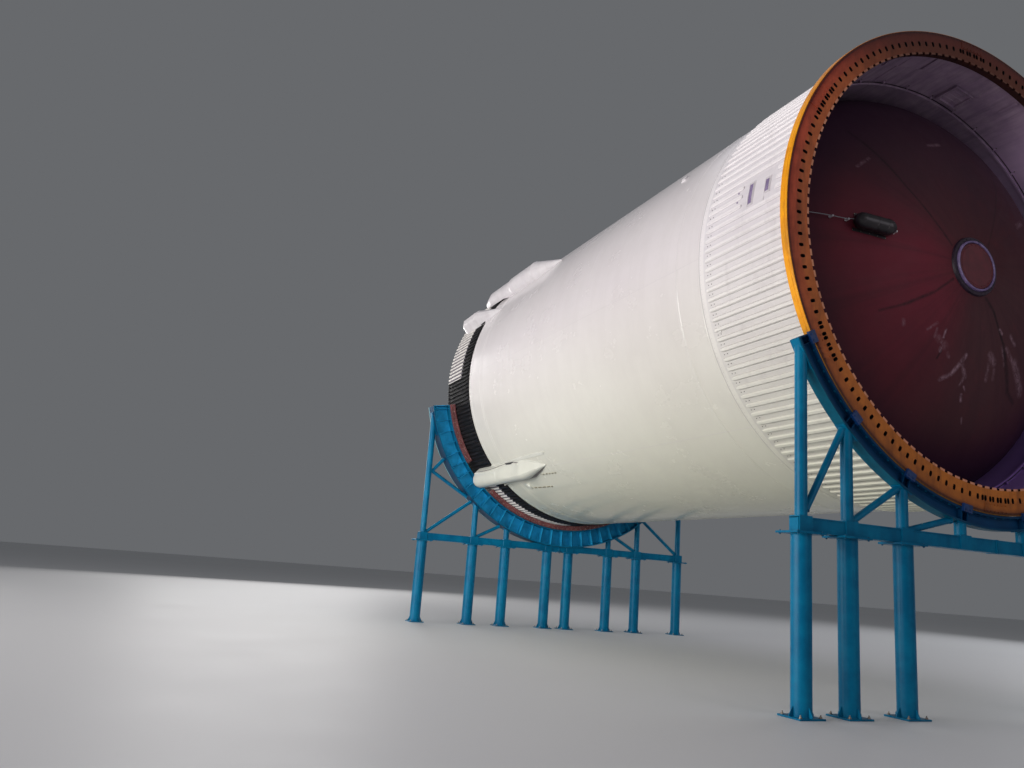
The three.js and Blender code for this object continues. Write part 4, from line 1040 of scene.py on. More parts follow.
def aft_skirt():
    p = Part("aft_skirt_shell")
    s0, s1 = 17.1105, 19.1195
    fade = lambda S: np.sqrt(1 - (1 - np.clip(np.minimum((S - 17.16) / 0.05, (19.10 - S) / 0.04), 0, 1)) ** 2)
    rows = [s0] + [17.16 + 0.05 * u for u in (0, 0.05, 0.2, 0.5, 1)] + [17.5, 17.948, 17.952, 18.3, 18.7] + [19.10 - 0.04 * u for u in (0, 0.05, 0.2, 0.5, 1)] + [s1]
    pts = hats(s0, s1, rows, 216, 0.0, 0.47, 0.33, 0.043, TANK_R, fade)
    p.grid(pts, M_PATTERN, wu=True)
    A = np.degrees(np.arctan2(pts[:, 0, 1], -(pts[:, 0, 2] - AZ)))
    prof = [(s0, 4.93), (17.45, 4.93), (17.45, 4.87), (17.50, 4.87), (17.50, 4.93), (18.9, 4.93), (18.9, 4.88), (18.94, 4.88), (18.94, 4.93), (s1, 4.93)]
    inner = P(np.array([q[0] for q in prof])[None, :], A[:, None], np.array([q[1] for q in prof])[None, :])
    p.grid(inner, M_PATTERN, wu=True)
    for a, b in ((pts[:, 0], inner[:, 0]), (pts[:, -1], inner[:, -1])):
        p.grid(np.stack([a, b], 1), M_PATTERN, wu=True)
    p.make(slot="aft_skirt_paint", replaces=["aft_skirt"], sharp=28)

    q = Part("aft_ring_flange")
    S0, S1, RI, RO = 19.1205, 19.4, 4.762, 5.0745
    # its outside carries short stringers in line with the skirt's, and the same paint
    fade = lambda S: np.sqrt(1 - (1 - np.clip(np.minimum((S - 19.135) / 0.03, (19.385 - S) / 0.03), 0, 1)) ** 2)
    rows = [S0, 19.135, 19.1365, 19.143, 19.165, 19.355, 19.377, 19.3835, 19.385, 19.396]
    pts = hats(S0, S1, rows, 216, 0.0, 0.47, 0.33, 0.043, TANK_R + 0.0005, fade)
    q.grid(pts, M_PATTERN, wu=True)
    A = np.degrees(np.arctan2(pts[:, 0, 1], -(pts[:, 0, 2] - AZ)))
    back = P(np.array([19.396, S1, S1, S1 - 0.004])[None, :], A[:, None], np.array([TANK_R + 0.0005, TANK_R - 0.004, RI + 0.004, RI])[None, :])
    q.grid(back, M_BROWN, wu=True)
    q.grid(np.stack([back[:, -1], P(S0, A, RI), pts[:, 0]], 1), M_BROWN, wu=True)
    C = [P(S1, a, 4.90) for a in np.arange(-180, 180, 2.5)]
    studs(q, C, (-1, 0, 0), 0.018, 0.02, M_BOLT, washer=0.03)
    q.make(slot="ring_brown", replaces=["aft_handling_ring"])


# ------------------------------------------------------------------ tank
def tank():
    p = Part("tank_skin")
    S = [3.0003]
    R = [TANK_R]
    rng = random.Random(5)

    def band(c, half, h, soft=0.012):
        """A raised or sunk band round the barrel."""
        for ds, k in ((-half - soft - 0.007, 0), (-half - soft, 0), (-half, 1), (half, 1), (half + soft, 0), (half + soft + 0.007, 0)):
            S.append(c + ds)
            R.append(TANK_R + h * k)

    band(3.047, 0.014, 0.004)
    band(3.86, 0.016, 0.005)
    for c in (5.95, 8.35, 10.75, 13.15):
        S.append(c - 0.5)
        R.append(TANK_R)
        band(c, 0.009, 0.0016, 0.01)
    band(15.55, 0.009, 0.0016, 0.01)
    band(15.93, 0.012, 0.005)
    band(16.07, 0.012, 0.005)
    band(16.98, 0.05, 0.006)
    S.append(17.1095)
    R.append(TANK_R)
    revolve(p, list(zip(S, R)), M_TANK, 288, closed=False)
    A = np.arange(288) * 360 / 288
    for s in (S[0], S[-1]):
        p.grid(np.stack([P(s, A, TANK_R), P(s, A, 4.2), P(s, A, 0.02)], 1), M_TANK, wu=True)
        p.add(P(s, A, 0.02), [np.arange(288)], M_TANK)
    p.make(slot="stage_white", replaces=["tank_barrel"], sharp=20)

    q = Part("tank_fittings")
    # flush strips, small bosses and covers on the barrel, on both sides alike
    for sg in (-1, 1):
        # a long flange beside the lower pod: it leaves the pod at its nose and runs on forward
        S = np.array([12.72, 12.80, 13.5, 14.2, 14.75, 15.3, 15.82, 16.5, 17.0])
        D = sg * np.interp(S, [12.72, 14.75, 15.82, 17.0], [50.2, 49.95, 49.6, 49.3])
        hw = np.degrees(np.array([0.02, 0.05, 0.06, 0.06, 0.06, 0.06, 0.06, 0.06, 0.06]) / TANK_R)
        rings(q, [P(s, d + np.array([-1, -0.8, 0.8, 1]) * k, TANK_R + np.array([-0.001, 0.026, 0.026, -0.001])) for s, d, k in zip(S, D, hw)], M_WHITE)
        # painted shadow: a grey strip beside the flange, on the pod's side
        rings(q, [P(s, d - sg * (k + np.array([0.0, 0.0, 0.34, 0.34])), TANK_R + np.array([-0.001, 0.006, 0.006, -0.001])) for s, d, k in zip(S[4:], D[4:], hw[4:])], M_SHADE)
        for s in np.arange(12.9, 16.9, 0.22):
            d = sg * float(np.interp(s, [12.72, 14.75, 15.82, 17.0], [50.2, 49.95, 49.6, 49.3]))
            studs(q, [P(s, d, TANK_R + 0.025)], P(0, d, 1) - P(0, d, 0), 0.010, 0.005, M_WHITE, n=8)
        # ridge of the pod's upper side, with a grey line above it as painted shadow in the groove
        deg_, w_, h_, sec_ = FAIRINGS["line_fairing_lower"]
        ss_, kw_, kh_ = np.array(sec_).T

        def on_pod(s, tt, out=0.0):
            half = math.degrees(w_ * np.interp(s, ss_, kw_) / TANK_R)
            return P(s, sg * (deg_ + half * math.cos(tt)), TANK_R + 0.0025 + h_ * np.interp(s, ss_, kh_) * 0.994 * float(pod_side(s, math.cos(tt), math.sin(tt))) + out)

        way = [(18.50, 0.36), (18.19, 0.41), (17.48, 0.45), (16.84, 0.41), (16.27, 0.28), (15.73, 0.155), (15.31, 0.26), (14.81, 0.53)]
        pipe(q, smooth_path([on_pod(s, tt, -0.004) for s, tt in way], 6), 0.014, M_SHADE, n=8)
        pipe(q, smooth_path([on_pod(s, tt + 0.16, -0.006) for s, tt in way], 6), 0.024, M_WHITE, n=8)
        # painted shadow: a dark blob at the front of the groove
        pipe(q, smooth_path([on_pod(15.80, 0.22, -0.004), on_pod(15.60, 0.26, 0.012), on_pod(15.40, 0.32, 0.012), on_pod(15.22, 0.38, -0.008)], 6), 0.036, M_SHADOW, n=12)
        # painted shadow: the dark mouth of the passage between the flange and the pod, a near-black sheet
        rings(q, [P(s, sg * np.array([hi, hi, lo, lo]), TANK_R + np.array([-0.001, 0.014, 0.014, -0.001])) for s, hi, lo in ((15.2, 48.6, 48.35), (15.32, 48.9, 48.1), (15.5, 49.2, 48.3), (15.72, 49.25, 48.8))], M_SHADOW)
        # two small tubes that run forward from below the pod, each on clips; their dark olive paints the shadow lines
        # they make
        for a0, a1, s0, s1 in ((41.1, 41.5, 12.85, 13.9), (35.0, 35.7, 13.9, 15.35)):
            S = np.linspace(s0, s1, 12)
            pts = P(S, sg * np.interp(S, [s0, s1], [a0, a1]), TANK_R + 0.012)
            pipe(q, pts, 0.016, M_LINE, n=10)
            for s in np.linspace(s0 + 0.1, s1 - 0.1, 5):
                d = sg * float(np.interp(s, [s0, s1], [a0, a1]))
                sweep(q, [(s - 0.02, TANK_R - 0.001), (s - 0.018, TANK_R + 0.031), (s + 0.018, TANK_R + 0.031), (s + 0.02, TANK_R - 0.001)], arc(d - 0.3, d + 0.3, 0.3), M_WHITE)
        # a small cover with a swept front, below the pod's shoulder
        rings(q, [P(s, sg * np.array([hi, (hi * 2 + lo) / 3, (hi + lo * 2) / 3, lo]), TANK_R + np.array([-0.001, h, h, -0.001])) for s, hi, lo, h in ((16.62, 40.6, 40.4, 0.01), (16.85, 41.0, 40.0, 0.10), (17.02, 41.2, 39.3, 0.13), (17.045, 41.2, 39.3, 0.02))], M_WHITE)
        for s, a, r, h in ((5.08, 126.8, 0.09, 0.05), (15.47, 37.0, 0.1, 0.06)):
            N = P(0, sg * a, 1) - P(0, sg * a, 0)
            lathe(q, P(s, sg * a, TANK_R - 0.003), N, [(0, r * 1.5), (0.012, r * 1.45), (0.014, r * 1.1), (h * 0.8, r), (h, r * 0.8), (h + 0.001, 0.001)], M_WHITE, 20)
    # doubler band with flush fasteners where the barrel meets each skirt
    for s in (3.09, 17.03):
        A1 = np.arange(-180, 180, 1.25)
        studs(q, P(s, A1, TANK_R + (0.005 if s > 10 else 0)), P(0, A1, 1) - P(0, A1, 0), 0.007, 0.0035, M_TANK, n=6)
    q.make(slot="stage_white")


# ------------------------------------------------------------------ forward dome
def dome_s(r):
    """Station of the dome's surface at radius r."""
    return 2.8 - 2.6 * math.sqrt(max(0.0, 1 - (r / 4.9) ** 2))


def forward_dome():
    p = Part("forward_dome_skin")
    na, R = 240, np.concatenate([np.linspace(0.64, 4.2, 44), 4.9 * np.sin(np.linspace(math.asin(4.25 / 4.9), math.pi / 2, 16)) * 0.9995])
    A = -180 + np.arange(na) * 1.5
    S = np.array([dome_s(r) for r in R])
    S0 = S.copy()
    # the coat is a little uneven, puckered low down where it was taped and rubbed
    rng = np.random.default_rng(7)
    ph = rng.uniform(0, 6.28, (14, 2))
    AA, RR = np.meshgrid(np.radians(A), R, indexing="ij")
    bumpy = np.zeros_like(AA)
    for k in range(14):
        bumpy += np.sin(AA * (k % 7 + 3) + ph[k, 0]) * np.sin(RR * (0.8 + 0.35 * k) + ph[k, 1]) / (2 + k)
    gore = np.abs(((np.degrees(AA) + 6) % 30) - 15)
    ridge = np.exp(-((15 - gore) / 0.9) ** 2) * np.clip((RR - 0.8) / 1.0, 0, 1)
    low = np.exp(-((np.degrees(AA) - 8) / 26) ** 2) * np.exp(-((RR - 2.5) / 0.7) ** 2)
    lift = 0.004 * bumpy + 0.005 * ridge + 0.006 * low * np.sin(np.degrees(AA) * 0.55 + 3 * np.sin(RR * 3))
    edge = np.clip((4.88 - RR) / 0.5, 0, 1) * np.clip((RR - 0.64) / 0.2, 0, 1)
    pts = P(S0[None, :] - np.clip(lift, -0.004, 0.012) * edge, A[:, None], R[None, :])
    p.grid(pts, M_DOME, wu=True)
    p.grid(np.stack([pts[:, -1], P(2.9995, A, 4.9 * 0.9995), P(2.9995, A, 2.0), P(2.9995, A, 0.02)], 1), M_DOME, wu=True)
    p.add(P(2.9995, A, 0.02), [np.arange(na)], M_DOME)
    sf = dome_s(0.64)
    p.grid(np.stack([pts[:, 0], P(sf, A, 0.3), P(sf, A, 0.02)], 1), M_DOME, wu=True)
    p.add(P(sf, A, 0.02), [np.arange(na)], M_DOME)
    p.make(slot="dome_red", replaces=["forward_dome"], sharp=40)

    h = Part("hatch_cover")
    f = sf - 0.0005
    prof = [(f, 0.02), (f, 0.498), (0.150, 0.498), (0.143, 0.492), (0.1425, 0.476), (0.150, 0.469), (0.150, 0.443), (0.143, 0.435), (0.1405, 0.28), (0.1402, 0.12), (0.1402, 0.02)]
    revolve(h, prof, M_HATCH, 96)
    A2 = np.arange(-180, 180, 15.0)
    studs(h, P(0.150, A2, 0.456), (1, 0, 0), 0.012, 0.008, M_HATCH, washer=0.016)
    lathe(h, P(0.1405, 0, 0.0), (1, 0, 0), [(0, 0.045), (0.0004, 0.045), (0.0005, 0.001)], M_HATCH, 24)
    h.make(slot="hatch_red", replaces=["dome_hatch_cover"])

    g = Part("hatch_rim")
    prof = [(f, 0.510), (f, 0.558), (0.145, 0.558), (0.131, 0.552), (0.128, 0.545), (0.128, 0.522), (0.131, 0.513), (0.14, 0.510)]
    revolve(g, prof, M_RIM, 128)
    g.make(slot="inner_lilac", replaces=["dome_hatch_rim"])
    g2 = Part("hatch_collar")
    prof = [(f + 0.02, 0.561), (0.172, 0.563), (0.166, 0.572), (0.166, 0.622), (0.178, 0.640), (dome_s(0.648) + 0.004, 0.655), (dome_s(0.648) + 0.02, 0.63)]
    revolve(g2, prof, M_COLLAR, 128)
    A3 = np.arange(-180, 180, 12.0)
    studs(g2, P(0.166, A3, 0.597), (1, 0, 0), 0.011, 0.009, M_COLLAR, washer=0.016)
    g2.make(slot="vent_dark")


def dome_vent():
    p = Part("dome_vent_can")
    VS, VR, VD, LEN, RAD, SL = 0.46, 2.58, -100.0, 0.88, 0.17, 0.33
    c = 1 / math.hypot(1, SL)
    axis = P(SL, VD, 1.0) - P(0, VD, 0.0)
    axis /= np.linalg.norm(axis)
    o = P(VS, VD, VR) * 1.0
    o = P(VS, VD, VR)
    h = LEN / 2
    prof = [(-h, 0.001), (-h, 0.07), (-h + 0.03, 0.105), (-h + 0.06, 0.13), (-h + 0.10, 0.155), (-h + 0.15, 0.168), (-h + 0.17, 0.168), (-h + 0.175, 0.172), (-h + 0.205, 0.172), (-h + 0.21, 0.168),
            (-0.05, 0.168), (-0.045, 0.172), (-0.015, 0.172), (-0.01, 0.168),
            (h - 0.21, 0.168), (h - 0.205, 0.172), (h - 0.175, 0.172), (h - 0.17, 0.168), (h - 0.15, 0.168), (h - 0.10, 0.155), (h - 0.06, 0.13), (h - 0.03, 0.105), (h, 0.07), (h, 0.001)]
    lathe(p, o, axis, prof, M_DARK, 40)
    # foot flange that follows the dome, with its screws
    side = np.cross(axis, P(-1, VD, 0) - P(0, VD, 0))
    side /= np.linalg.norm(side)
    out = np.cross(side, axis)
    if out[0] < 0:
        out = -out
    for sg in (-1, 1):
        C = []
        for t in np.linspace(-0.36, 0.36, 9):
            base = o + axis * t + side * sg * 0.172
            rr = math.hypot(base[1], base[2] - AZ)
            ang = math.degrees(math.atan2(base[1], -(base[2] - AZ)))
            C.append(P(dome_s(rr) - 0.004, ang, rr))
        C = np.array(C)
        off = side * sg * 0.035
        ringset = []
        for q in C:
            ringset.append([q - off * 1.0 + out * 0.002, q + off + out * 0.0, q + off + out * 0.010, q - off * 1.0 + out * 0.014])
        rings(p, ringset, M_DARK)
        studs(p, C[::2] + off * 0.4 + out * 0.011, out, 0.010, 0.007, M_BOLT, n=6)
    p.make(slot="vent_dark", replaces=["dome_vent"])

    q = Part("dome_vent_line")
    # thin line from the can out to the wall, on two small white brackets; one more bracket ahead of the can

    def on(r, lift, d=VD):
        return P(dome_s(r) - lift, d, r)

    path = [o + axis * (h - 0.02)] + [on(r, 0.075) for r in (3.1, 3.4, 3.7, 4.0, 4.3, 4.55, 4.72)] + [P(dome_s(4.72) - 0.25, VD, 4.84), P(1.2, VD, 4.86), P(1.02, VD, 4.893)]
    pipe(q, smooth_path(path, 6), 0.009, M_GREY, n=10)
    for r in (2.09, 3.06, 3.36):
        b = on(r, 0.0)
        ax = np.array([1.0, 0, 0])
        t = P(0, VD, 1) - P(0, VD, 0)
        s_ = np.cross(ax, t)
        for lo, hi in (((-0.034, -0.024, -0.006), (0.034, 0.024, 0.008)), ((-0.014, -0.02, 0.0), (0.014, 0.02, 0.095 if r > 2.5 else 0.11))):
            lo, hi = np.array(lo), np.array(hi)
            bevel_box(q, lo, hi, M_WHITE, 0.004, axes=[t, s_, ax], origin=b)
        studs(q, [b + t * 0.024 + ax * 0.008, b - t * 0.024 + ax * 0.008], (1, 0, 0), 0.007, 0.006, M_BOLT)
    q.make(slot="vent_dark")


def access_frame():
    p = Part("access_frame_detail")
    a0, a1, s0, s1 = 166.0, 173.2, 0.87, 1.45
    RO, RI = 4.9128, 4.8505
    # four sides with a chamfered inner lip
    for c0, c1, d0, d1 in ((s0, s1, a0, a0 + 0.8), (s0, s1, a1 - 0.8, a1)):
        sweep(p, [(c0, RO), (c0, RI + 0.006), (c0 + 0.006, RI), (c1 - 0.006, RI), (c1, RI + 0.006), (c1, RO)], arc(d0, d1, 0.4), M_INNER)
    for c0, c1 in ((s0, s0 + 0.06), (s1 - 0.06, s1)):
        sweep(p, [(c0, RO), (c0, RI + 0.006), (c0 + 0.006, RI), (c1 - 0.006, RI), (c1, RI + 0.006), (c1, RO)], arc(a0 + 0.79, a1 - 0.79, 0.4), M_INNER)
    # inner panel, its stiffening cross ribs and screws
    sweep(p, [(s0 + 0.055, RO), (s0 + 0.055, 4.899), (s1 - 0.055, 4.899), (s1 - 0.055, RO)], arc(a0 + 0.75, a1 - 0.75, 0.4), M_INNER)
    for sc in (1.03, 1.16, 1.29):
        sweep(p, [(sc - 0.02, 4.9), (sc - 0.012, 4.886), (sc + 0.012, 4.886), (sc + 0.02, 4.9)], arc(a0 + 1.2, a1 - 1.2, 0.4), M_INNER)
    for sc in (s0 + 0.03, s1 - 0.03):
        A = arc(a0 + 0.5, a1 - 0.5, 0.75)
        studs(p, P(sc, A, RI), P(0, A, 0) - P(0, A, 1), 0.010, 0.007, M_BOLT)
    for d in (a0 + 0.4, a1 - 0.4):
        S = np.linspace(s0 + 0.1, s1 - 0.1, 6)
        studs(p, P(S, d, RI), P(0, d, 0) - P(0, d, 1), 0.010, 0.007, M_BOLT)
    p.make(slot="inner_lilac", replaces=["skirt_access_frame"])


# ------------------------------------------------------------------ line fairings
FAIRINGS = {
    # kind: angle from the bottom, half width, height, and sections: station, share of the width and of the height
    "line_fairing_lower": (45.3, 0.355, 0.500, [(13.1, 0.08, 0.05), (14.6, 1, 0.82), (16.5, 1, 0.88), (18.3, 1, 1), (18.48, 1, 1), (18.56, 0.92, 0.97)]),
    "line_fairing_upper": (130.0, 0.380, 0.470, [(12.3, 0.08, 0.05), (13.9, 1, 1), (15.8, 1, 1), (15.85, 0.93, 0.92), (17.7, 0.93, 0.92), (18.25, 0.75, 0.62), (18.4, 0.5, 0.35)]),
    "short_fairing": (118.0, 0.340, 0.450, [(15.9, 0.08, 0.05), (17.7, 1, 1), (18.9, 1, 0.95), (19.08, 0.85, 0.75)]),
}


def pod_side(s, u, v):
    """Height of a lower pod's section: v is the round one, u runs to 1 at its upper edge, and the nose is flat on that side."""
    w = min(max((16.1 - s) / 0.9, 0.0), 1.0)
    u = np.asarray(u, float)
    return np.where(u > 0, v * (1 - w) + w * np.minimum(v, (1 - u) ** 0.9), v)


def fairing(kind, sg, side):
    """A pod: straight conical nose, collar seams, a flange with screws, and a blunt tail with a rolled lip."""
    name = f"{kind}_{side}"
    deg, w, h, sec = FAIRINGS[kind]
    deg *= sg
    p = Part(name + "_pod")
    rb = TANK_R + 0.0025
    ss, kws, khs = (np.array([q[j] for q in sec], float) for j in range(3))
    s0, s1, nose = ss[0], ss[-1], ss[1]
    seams = {"line_fairing_lower": [16.5], "line_fairing_upper": [nose], "short_fairing": [nose]}[kind]
    st = list(np.linspace(s0, nose, 12)) + list(np.linspace(nose, s1, 26)) + list(ss) + [s1 - 0.012, s1 - 0.04]
    for c in seams:
        st += [c - 0.03, c - 0.022, c + 0.022, c + 0.03]
    st = sorted(set(round(float(x), 4) for x in st if x <= s1))
    n = 28
    prof = np.linspace(0, math.pi, n + 1)
    ca, sa = np.cos(prof), np.sin(prof)
    if kind == "short_fairing":      # pressed in flats, with a ridge along the top
        knots = [0, 0.30 * math.pi, 0.5 * math.pi, 0.70 * math.pi, math.pi]
        ca, sa = np.interp(prof, knots, np.cos(knots)), np.interp(prof, knots, np.sin(knots))
    power = {"line_fairing_lower": 1.0, "line_fairing_upper": 0.92, "short_fairing": 1.0}[kind]
    over = 16.2                      # the upper pods stand clear of the tank aft of this

    def size(s):
        return np.interp(s, ss, kws), np.interp(s, ss, khs)

    def lift(s):
        return 0.075 * min(max((s - over) / 0.35, 0.0), 1.0) if kind == "line_fairing_upper" else 0.0

    def ring_at(s, shrink=1.0, back=0.0, collar=0.0):
        kw, kh = size(s)
        half = math.degrees(w * kw * shrink / rb) * 0.996
        up = lift(s)
        top = max(h * kh * 0.994 * shrink - up, 0.01)
        hs = pod_side(s, sg * ca, np.clip(sa, 0, 1)) if kind == "line_fairing_lower" else np.clip(sa, 0, 1)
        r = rb + up + top * hs ** power + collar * hs
        d = deg + half * ca
        j = np.arange(1, 6)
        r = np.concatenate([r, np.full(5, rb + up + (0.02 if shrink < 0.97 and back else 0.0))])
        d = np.concatenate([d, deg - half + 2 * half * j / 6])
        return P(s - back, d, r)

    ringset = [ring_at(s, collar=0.007 if any(abs(s - c) <= 0.0225 for c in seams) else 0.0) for s in st]
    rings(p, ringset + [ring_at(s1, 0.93), ring_at(s1, 0.92, 0.035)], M_WHITE)
    # rolled lip round the tail
    kw, kh = size(s1)
    half = math.degrees(w * kw / rb) * 0.97
    lip = P(s1 - 0.012, deg + half * ca, rb + lift(s1) + max(h * kh * 0.97 - lift(s1), 0.01) * sa ** power)
    pipe(p, lip, 0.011, M_WHITE, n=8)
    if kind == "line_fairing_upper":
        # a dark keel below the raised part, painted as the shadow under the pod
        rings(p, [P(s, deg + np.array([-1.2, 1.2, 1.0, -1.0]) * k, np.array([rb, rb, rb + lift(s) + 0.03, rb + lift(s) + 0.03])) for s, k in ((over - 0.3, 1.0), (over + 0.4, 1.0), (17.4, 1.0), (18.1, 0.5))], M_SHADOW)
    # flange strips along both sides, with screws
    end = over - 0.1 if kind == "line_fairing_upper" else s1 - 0.08
    S = np.linspace(s0 + 0.2, end, 20)
    for sd in (-1, 1):
        strip = []
        for s in S:
            half = math.degrees(w * size(s)[0] / rb)
            d0, d1 = deg + sd * (half - 0.05), deg + sd * (half + math.degrees(0.055 / rb))
            strip.append(np.stack([P(s, d0, rb - 0.001), P(s, d1, rb - 0.001), P(s, d1, rb + 0.005), P(s, d0, rb + 0.008)]))
        rings(p, strip, M_WHITE)
        if kind == "line_fairing_lower" and sd == -sg:
            # painted shadow: a grey fillet along the lower side of the nose
            fillet = []
            for s, wd_ in ((13.3, 0.02), (13.6, 0.06), (14.4, 0.10), (15.3, 0.10), (16.2, 0.06), (16.45, 0.03)):
                half = math.degrees(w * size(s)[0] / rb)
                d0, d1 = deg + sd * (half - 0.3), deg + sd * (half + math.degrees(wd_ / rb))
                fillet.append(np.stack([P(s, d0, rb + 0.001), P(s, d1, rb + 0.001), P(s, d1, rb + 0.010), P(s, d0, rb + 0.05)]))
            rings(p, fillet, M_SHADE)
        C, N = [], []
        for s in np.arange(s0 + 0.3, end - 0.05, 0.16):
            d = deg + sd * (math.degrees(w * size(s)[0] / rb) + math.degrees(0.028 / rb))
            C.append(P(s, d, rb + 0.006))
            N.append(P(0, d, 1) - P(0, d, 0))
        studs(p, C, N, 0.008, 0.004, M_WHITE, n=8)
    # screws round each collar
    for c in seams:
        kw, kh = size(c)
        C, N = [], []
        for i in range(2, 27, 2):
            d = deg + math.degrees(w * kw / rb) * ca[i]
            hs = float(pod_side(c, sg * ca[i], sa[i])) if kind == "line_fairing_lower" else sa[i]
            C.append(P(c, d, rb + h * kh * 0.994 * hs ** power + 0.007 * hs))
            N.append(P(0, deg + math.degrees(w / rb) * ca[i] * 3, 1) - P(0, deg, 0))
        studs(p, C, N, 0.009, 0.004, M_WHITE, n=8)
    p.make(slot="stage_white", replaces=[name])


# ------------------------------------------------------------------ cradles
GIRDER = {"front": dict(s0=0.0, s1=0.25, ro=5.55, half=63.0, web=0.030, fl=0.040), "aft": dict(s0=18.65, s1=19.25, ro=5.915, half=79.7, web=0.040, fl=0.040)}
FRAMES = {
    "front": dict(s=0.125, cols=[(0.87, 0), (2.39, 1), (3.74, 1), (4.80, 1)], bt=5.735, bb=5.990, bw=0.230, ro=5.55, low=0.178,
                  braces=[("top", 2, "beam", 3, 0.21), ("top", 1, "beam", 2, 0.085), ("top", 0, "beam", 1, 0.105)], struts=[], end=0.165),
    "aft": dict(s=18.95, cols=[(0.47, 1), (2.28, 1), (3.64, 1), (5.66, 1)], bt=5.830, bb=6.085, bw=0.260, ro=5.915, low=0.190,
                braces=[("top", 2, "beam", 3, 0.32), ("mid", 3, "top", 2, 0.096), ("top", 1, "beam", 2, 0.29)], struts=[(5.66, -3.66, 5.03, -2.917)], end=0.165),
}
RIN = 5.2568


def girder(end):
    g = GIRDER[end]
    p = Part(end + "_girder")
    s0, s1, ro, half, web, fl = g["s0"], g["s1"], g["ro"], g["half"], g["web"], g["fl"]
    m = (s0 + s1) / 2
    A = arc(-half, half, 0.9)
    e = 0.0008
    # flanges and web as one rolled section with small root fillets
    c = 0.012
    sec = [(s0 + e, RIN), (s1 - e, RIN), (s1 - e, RIN + fl), (m + web / 2 + c, RIN + fl), (m + web / 2, RIN + fl + c), (m + web / 2, ro - fl - c), (m + web / 2 + c, ro - fl), (s1 - e, ro - fl), (s1 - e, ro - 0.001),
           (s0 + e, ro - 0.001), (s0 + e, ro - fl), (m - web / 2 - c, ro - fl), (m - web / 2, ro - fl - c), (m - web / 2, RIN + fl + c), (m - web / 2 - c, RIN + fl), (s0 + e, RIN + fl)]
    sweep(p, sec, A, M_GIRDER)
    # end plates
    for sg in (-1, 1):
        a = sg * half
        sweep(p, [(s0 + 0.002, RIN + 0.002), (s1 - 0.002, RIN + 0.002), (s1 - 0.002, ro - 0.002), (s0 + 0.002, ro - 0.002)], [a - sg * 0.02, a - sg * 0.24], M_GIRDER)
    # radial stiffeners: all round at the aft cradle, in pairs beside the clamps at the front one
    wd = 0.012 / 5.5 * 180 / math.pi
    if end == "aft":
        stiff = [i * 4.6 for i in range(-17, 18)]
    else:
        heads = [sg * math.degrees(math.asin(y / (FRAMES["front"]["ro"] - 0.12))) for y, _ in FRAMES["front"]["cols"] for sg in (-1, 1)]
        stiff = [a + d for a in heads for d in (-0.85, 0.85)]
    for a in stiff:
        for b0, b1 in ((s0 + 0.008, m - web / 2 - 0.0005), (m + web / 2 + 0.0005, s1 - 0.008)):
            sweep(p, [(b0, RIN + fl - 0.001), (b1, RIN + fl - 0.001), (b1, ro - fl + 0.001), (b0, ro - fl + 0.001)], [a - wd / 2, a + wd / 2], M_GIRDER)
    # bolts through the inner flange: along both edges
    q = []
    N = []
    for a in np.arange(-half + 1.2, half - 1.0, 2.3):
        for s in ((s0 + 0.05, s1 - 0.05) if end == "aft" else (s0 + 0.045, s1 - 0.045)):
            q.append(P(s, a, RIN + fl))
            N.append(P(0, a, 1) - P(0, a, 0))
    studs(p, q, N, 0.016, 0.018, M_BLUE_DARK, washer=0.024)
    if end == "front":
        # clamps: a block on the girder with a plate that laps the ring's face, two bolts each
        F = FRAMES["front"]
        for y, _ in F["cols"]:
            for sg in (-1, 1):
                a = sg * math.degrees(math.asin(y / (F["ro"] - 0.12)))
                sweep(p, [(-0.059, 5.196), (-0.055, 5.192), (-0.001, 5.192), (-0.001, RIN + 0.02), (-0.001, RIN + 0.09), (-0.055, RIN + 0.09), (-0.059, RIN + 0.084)], arc(a - 1.27, a + 1.27, 0.3), M_CLAMP)
                studs(p, [P(-0.059, a - 0.62, 5.30), P(-0.059, a + 0.62, 5.30)], (1, 0, 0), 0.018, 0.016, M_CLAMP, washer=0.024)
    p.make(slot="cradle_blue", replaces=[end + "_saddle"])


def pads():
    n = 31
    edges = [-79.7 + 159.4 * k / n for k in range(n + 1)]
    for name, k0, k1 in (("near", 0, 5), ("bottom", 8, 23), ("far", 26, 31)):
        p = Part("aft_pad_" + name + "_strap")
        a0, a1 = edges[k0] + 0.03, edges[k1] - 0.03
        A = arc(a0, a1, 0.9)
        s0, s1, ri = 18.502, 19.298, 5.082
        # a channel filled with layered felt: rails at both edges and a recessed middle
        ro = 5.2496
        sec = [(s0, ri), (s0 + 0.05, ri), (s0 + 0.055, ri + 0.012), (s1 - 0.055, ri + 0.012), (s1 - 0.05, ri), (s1, ri), (s1, ri + 0.06), (s1 - 0.012, ri + 0.072), (s1 - 0.012, ro), (s0 + 0.012, ro), (s0 + 0.012, ri + 0.072), (s0, ri + 0.06)]
        sweep(p, sec, A, M_BROWN)
        for a in np.arange(a0 + 0.8, a1 - 0.5, 2.3):
            studs(p, [P(s0 + 0.012, a, ri + 0.12)], (1, 0, 0), 0.016, 0.010, M_BOLT, washer=0.022)
            sweep(p, [(s0 + 0.003, ri + 0.074), (s0 + 0.014, ri + 0.07), (s0 + 0.014, ro - 0.004), (s0 + 0.003, ro - 0.004)], [a + 0.95, a + 1.1], M_BROWN)
        p.make(slot="ring_brown", replaces=["aft_pad_" + name])


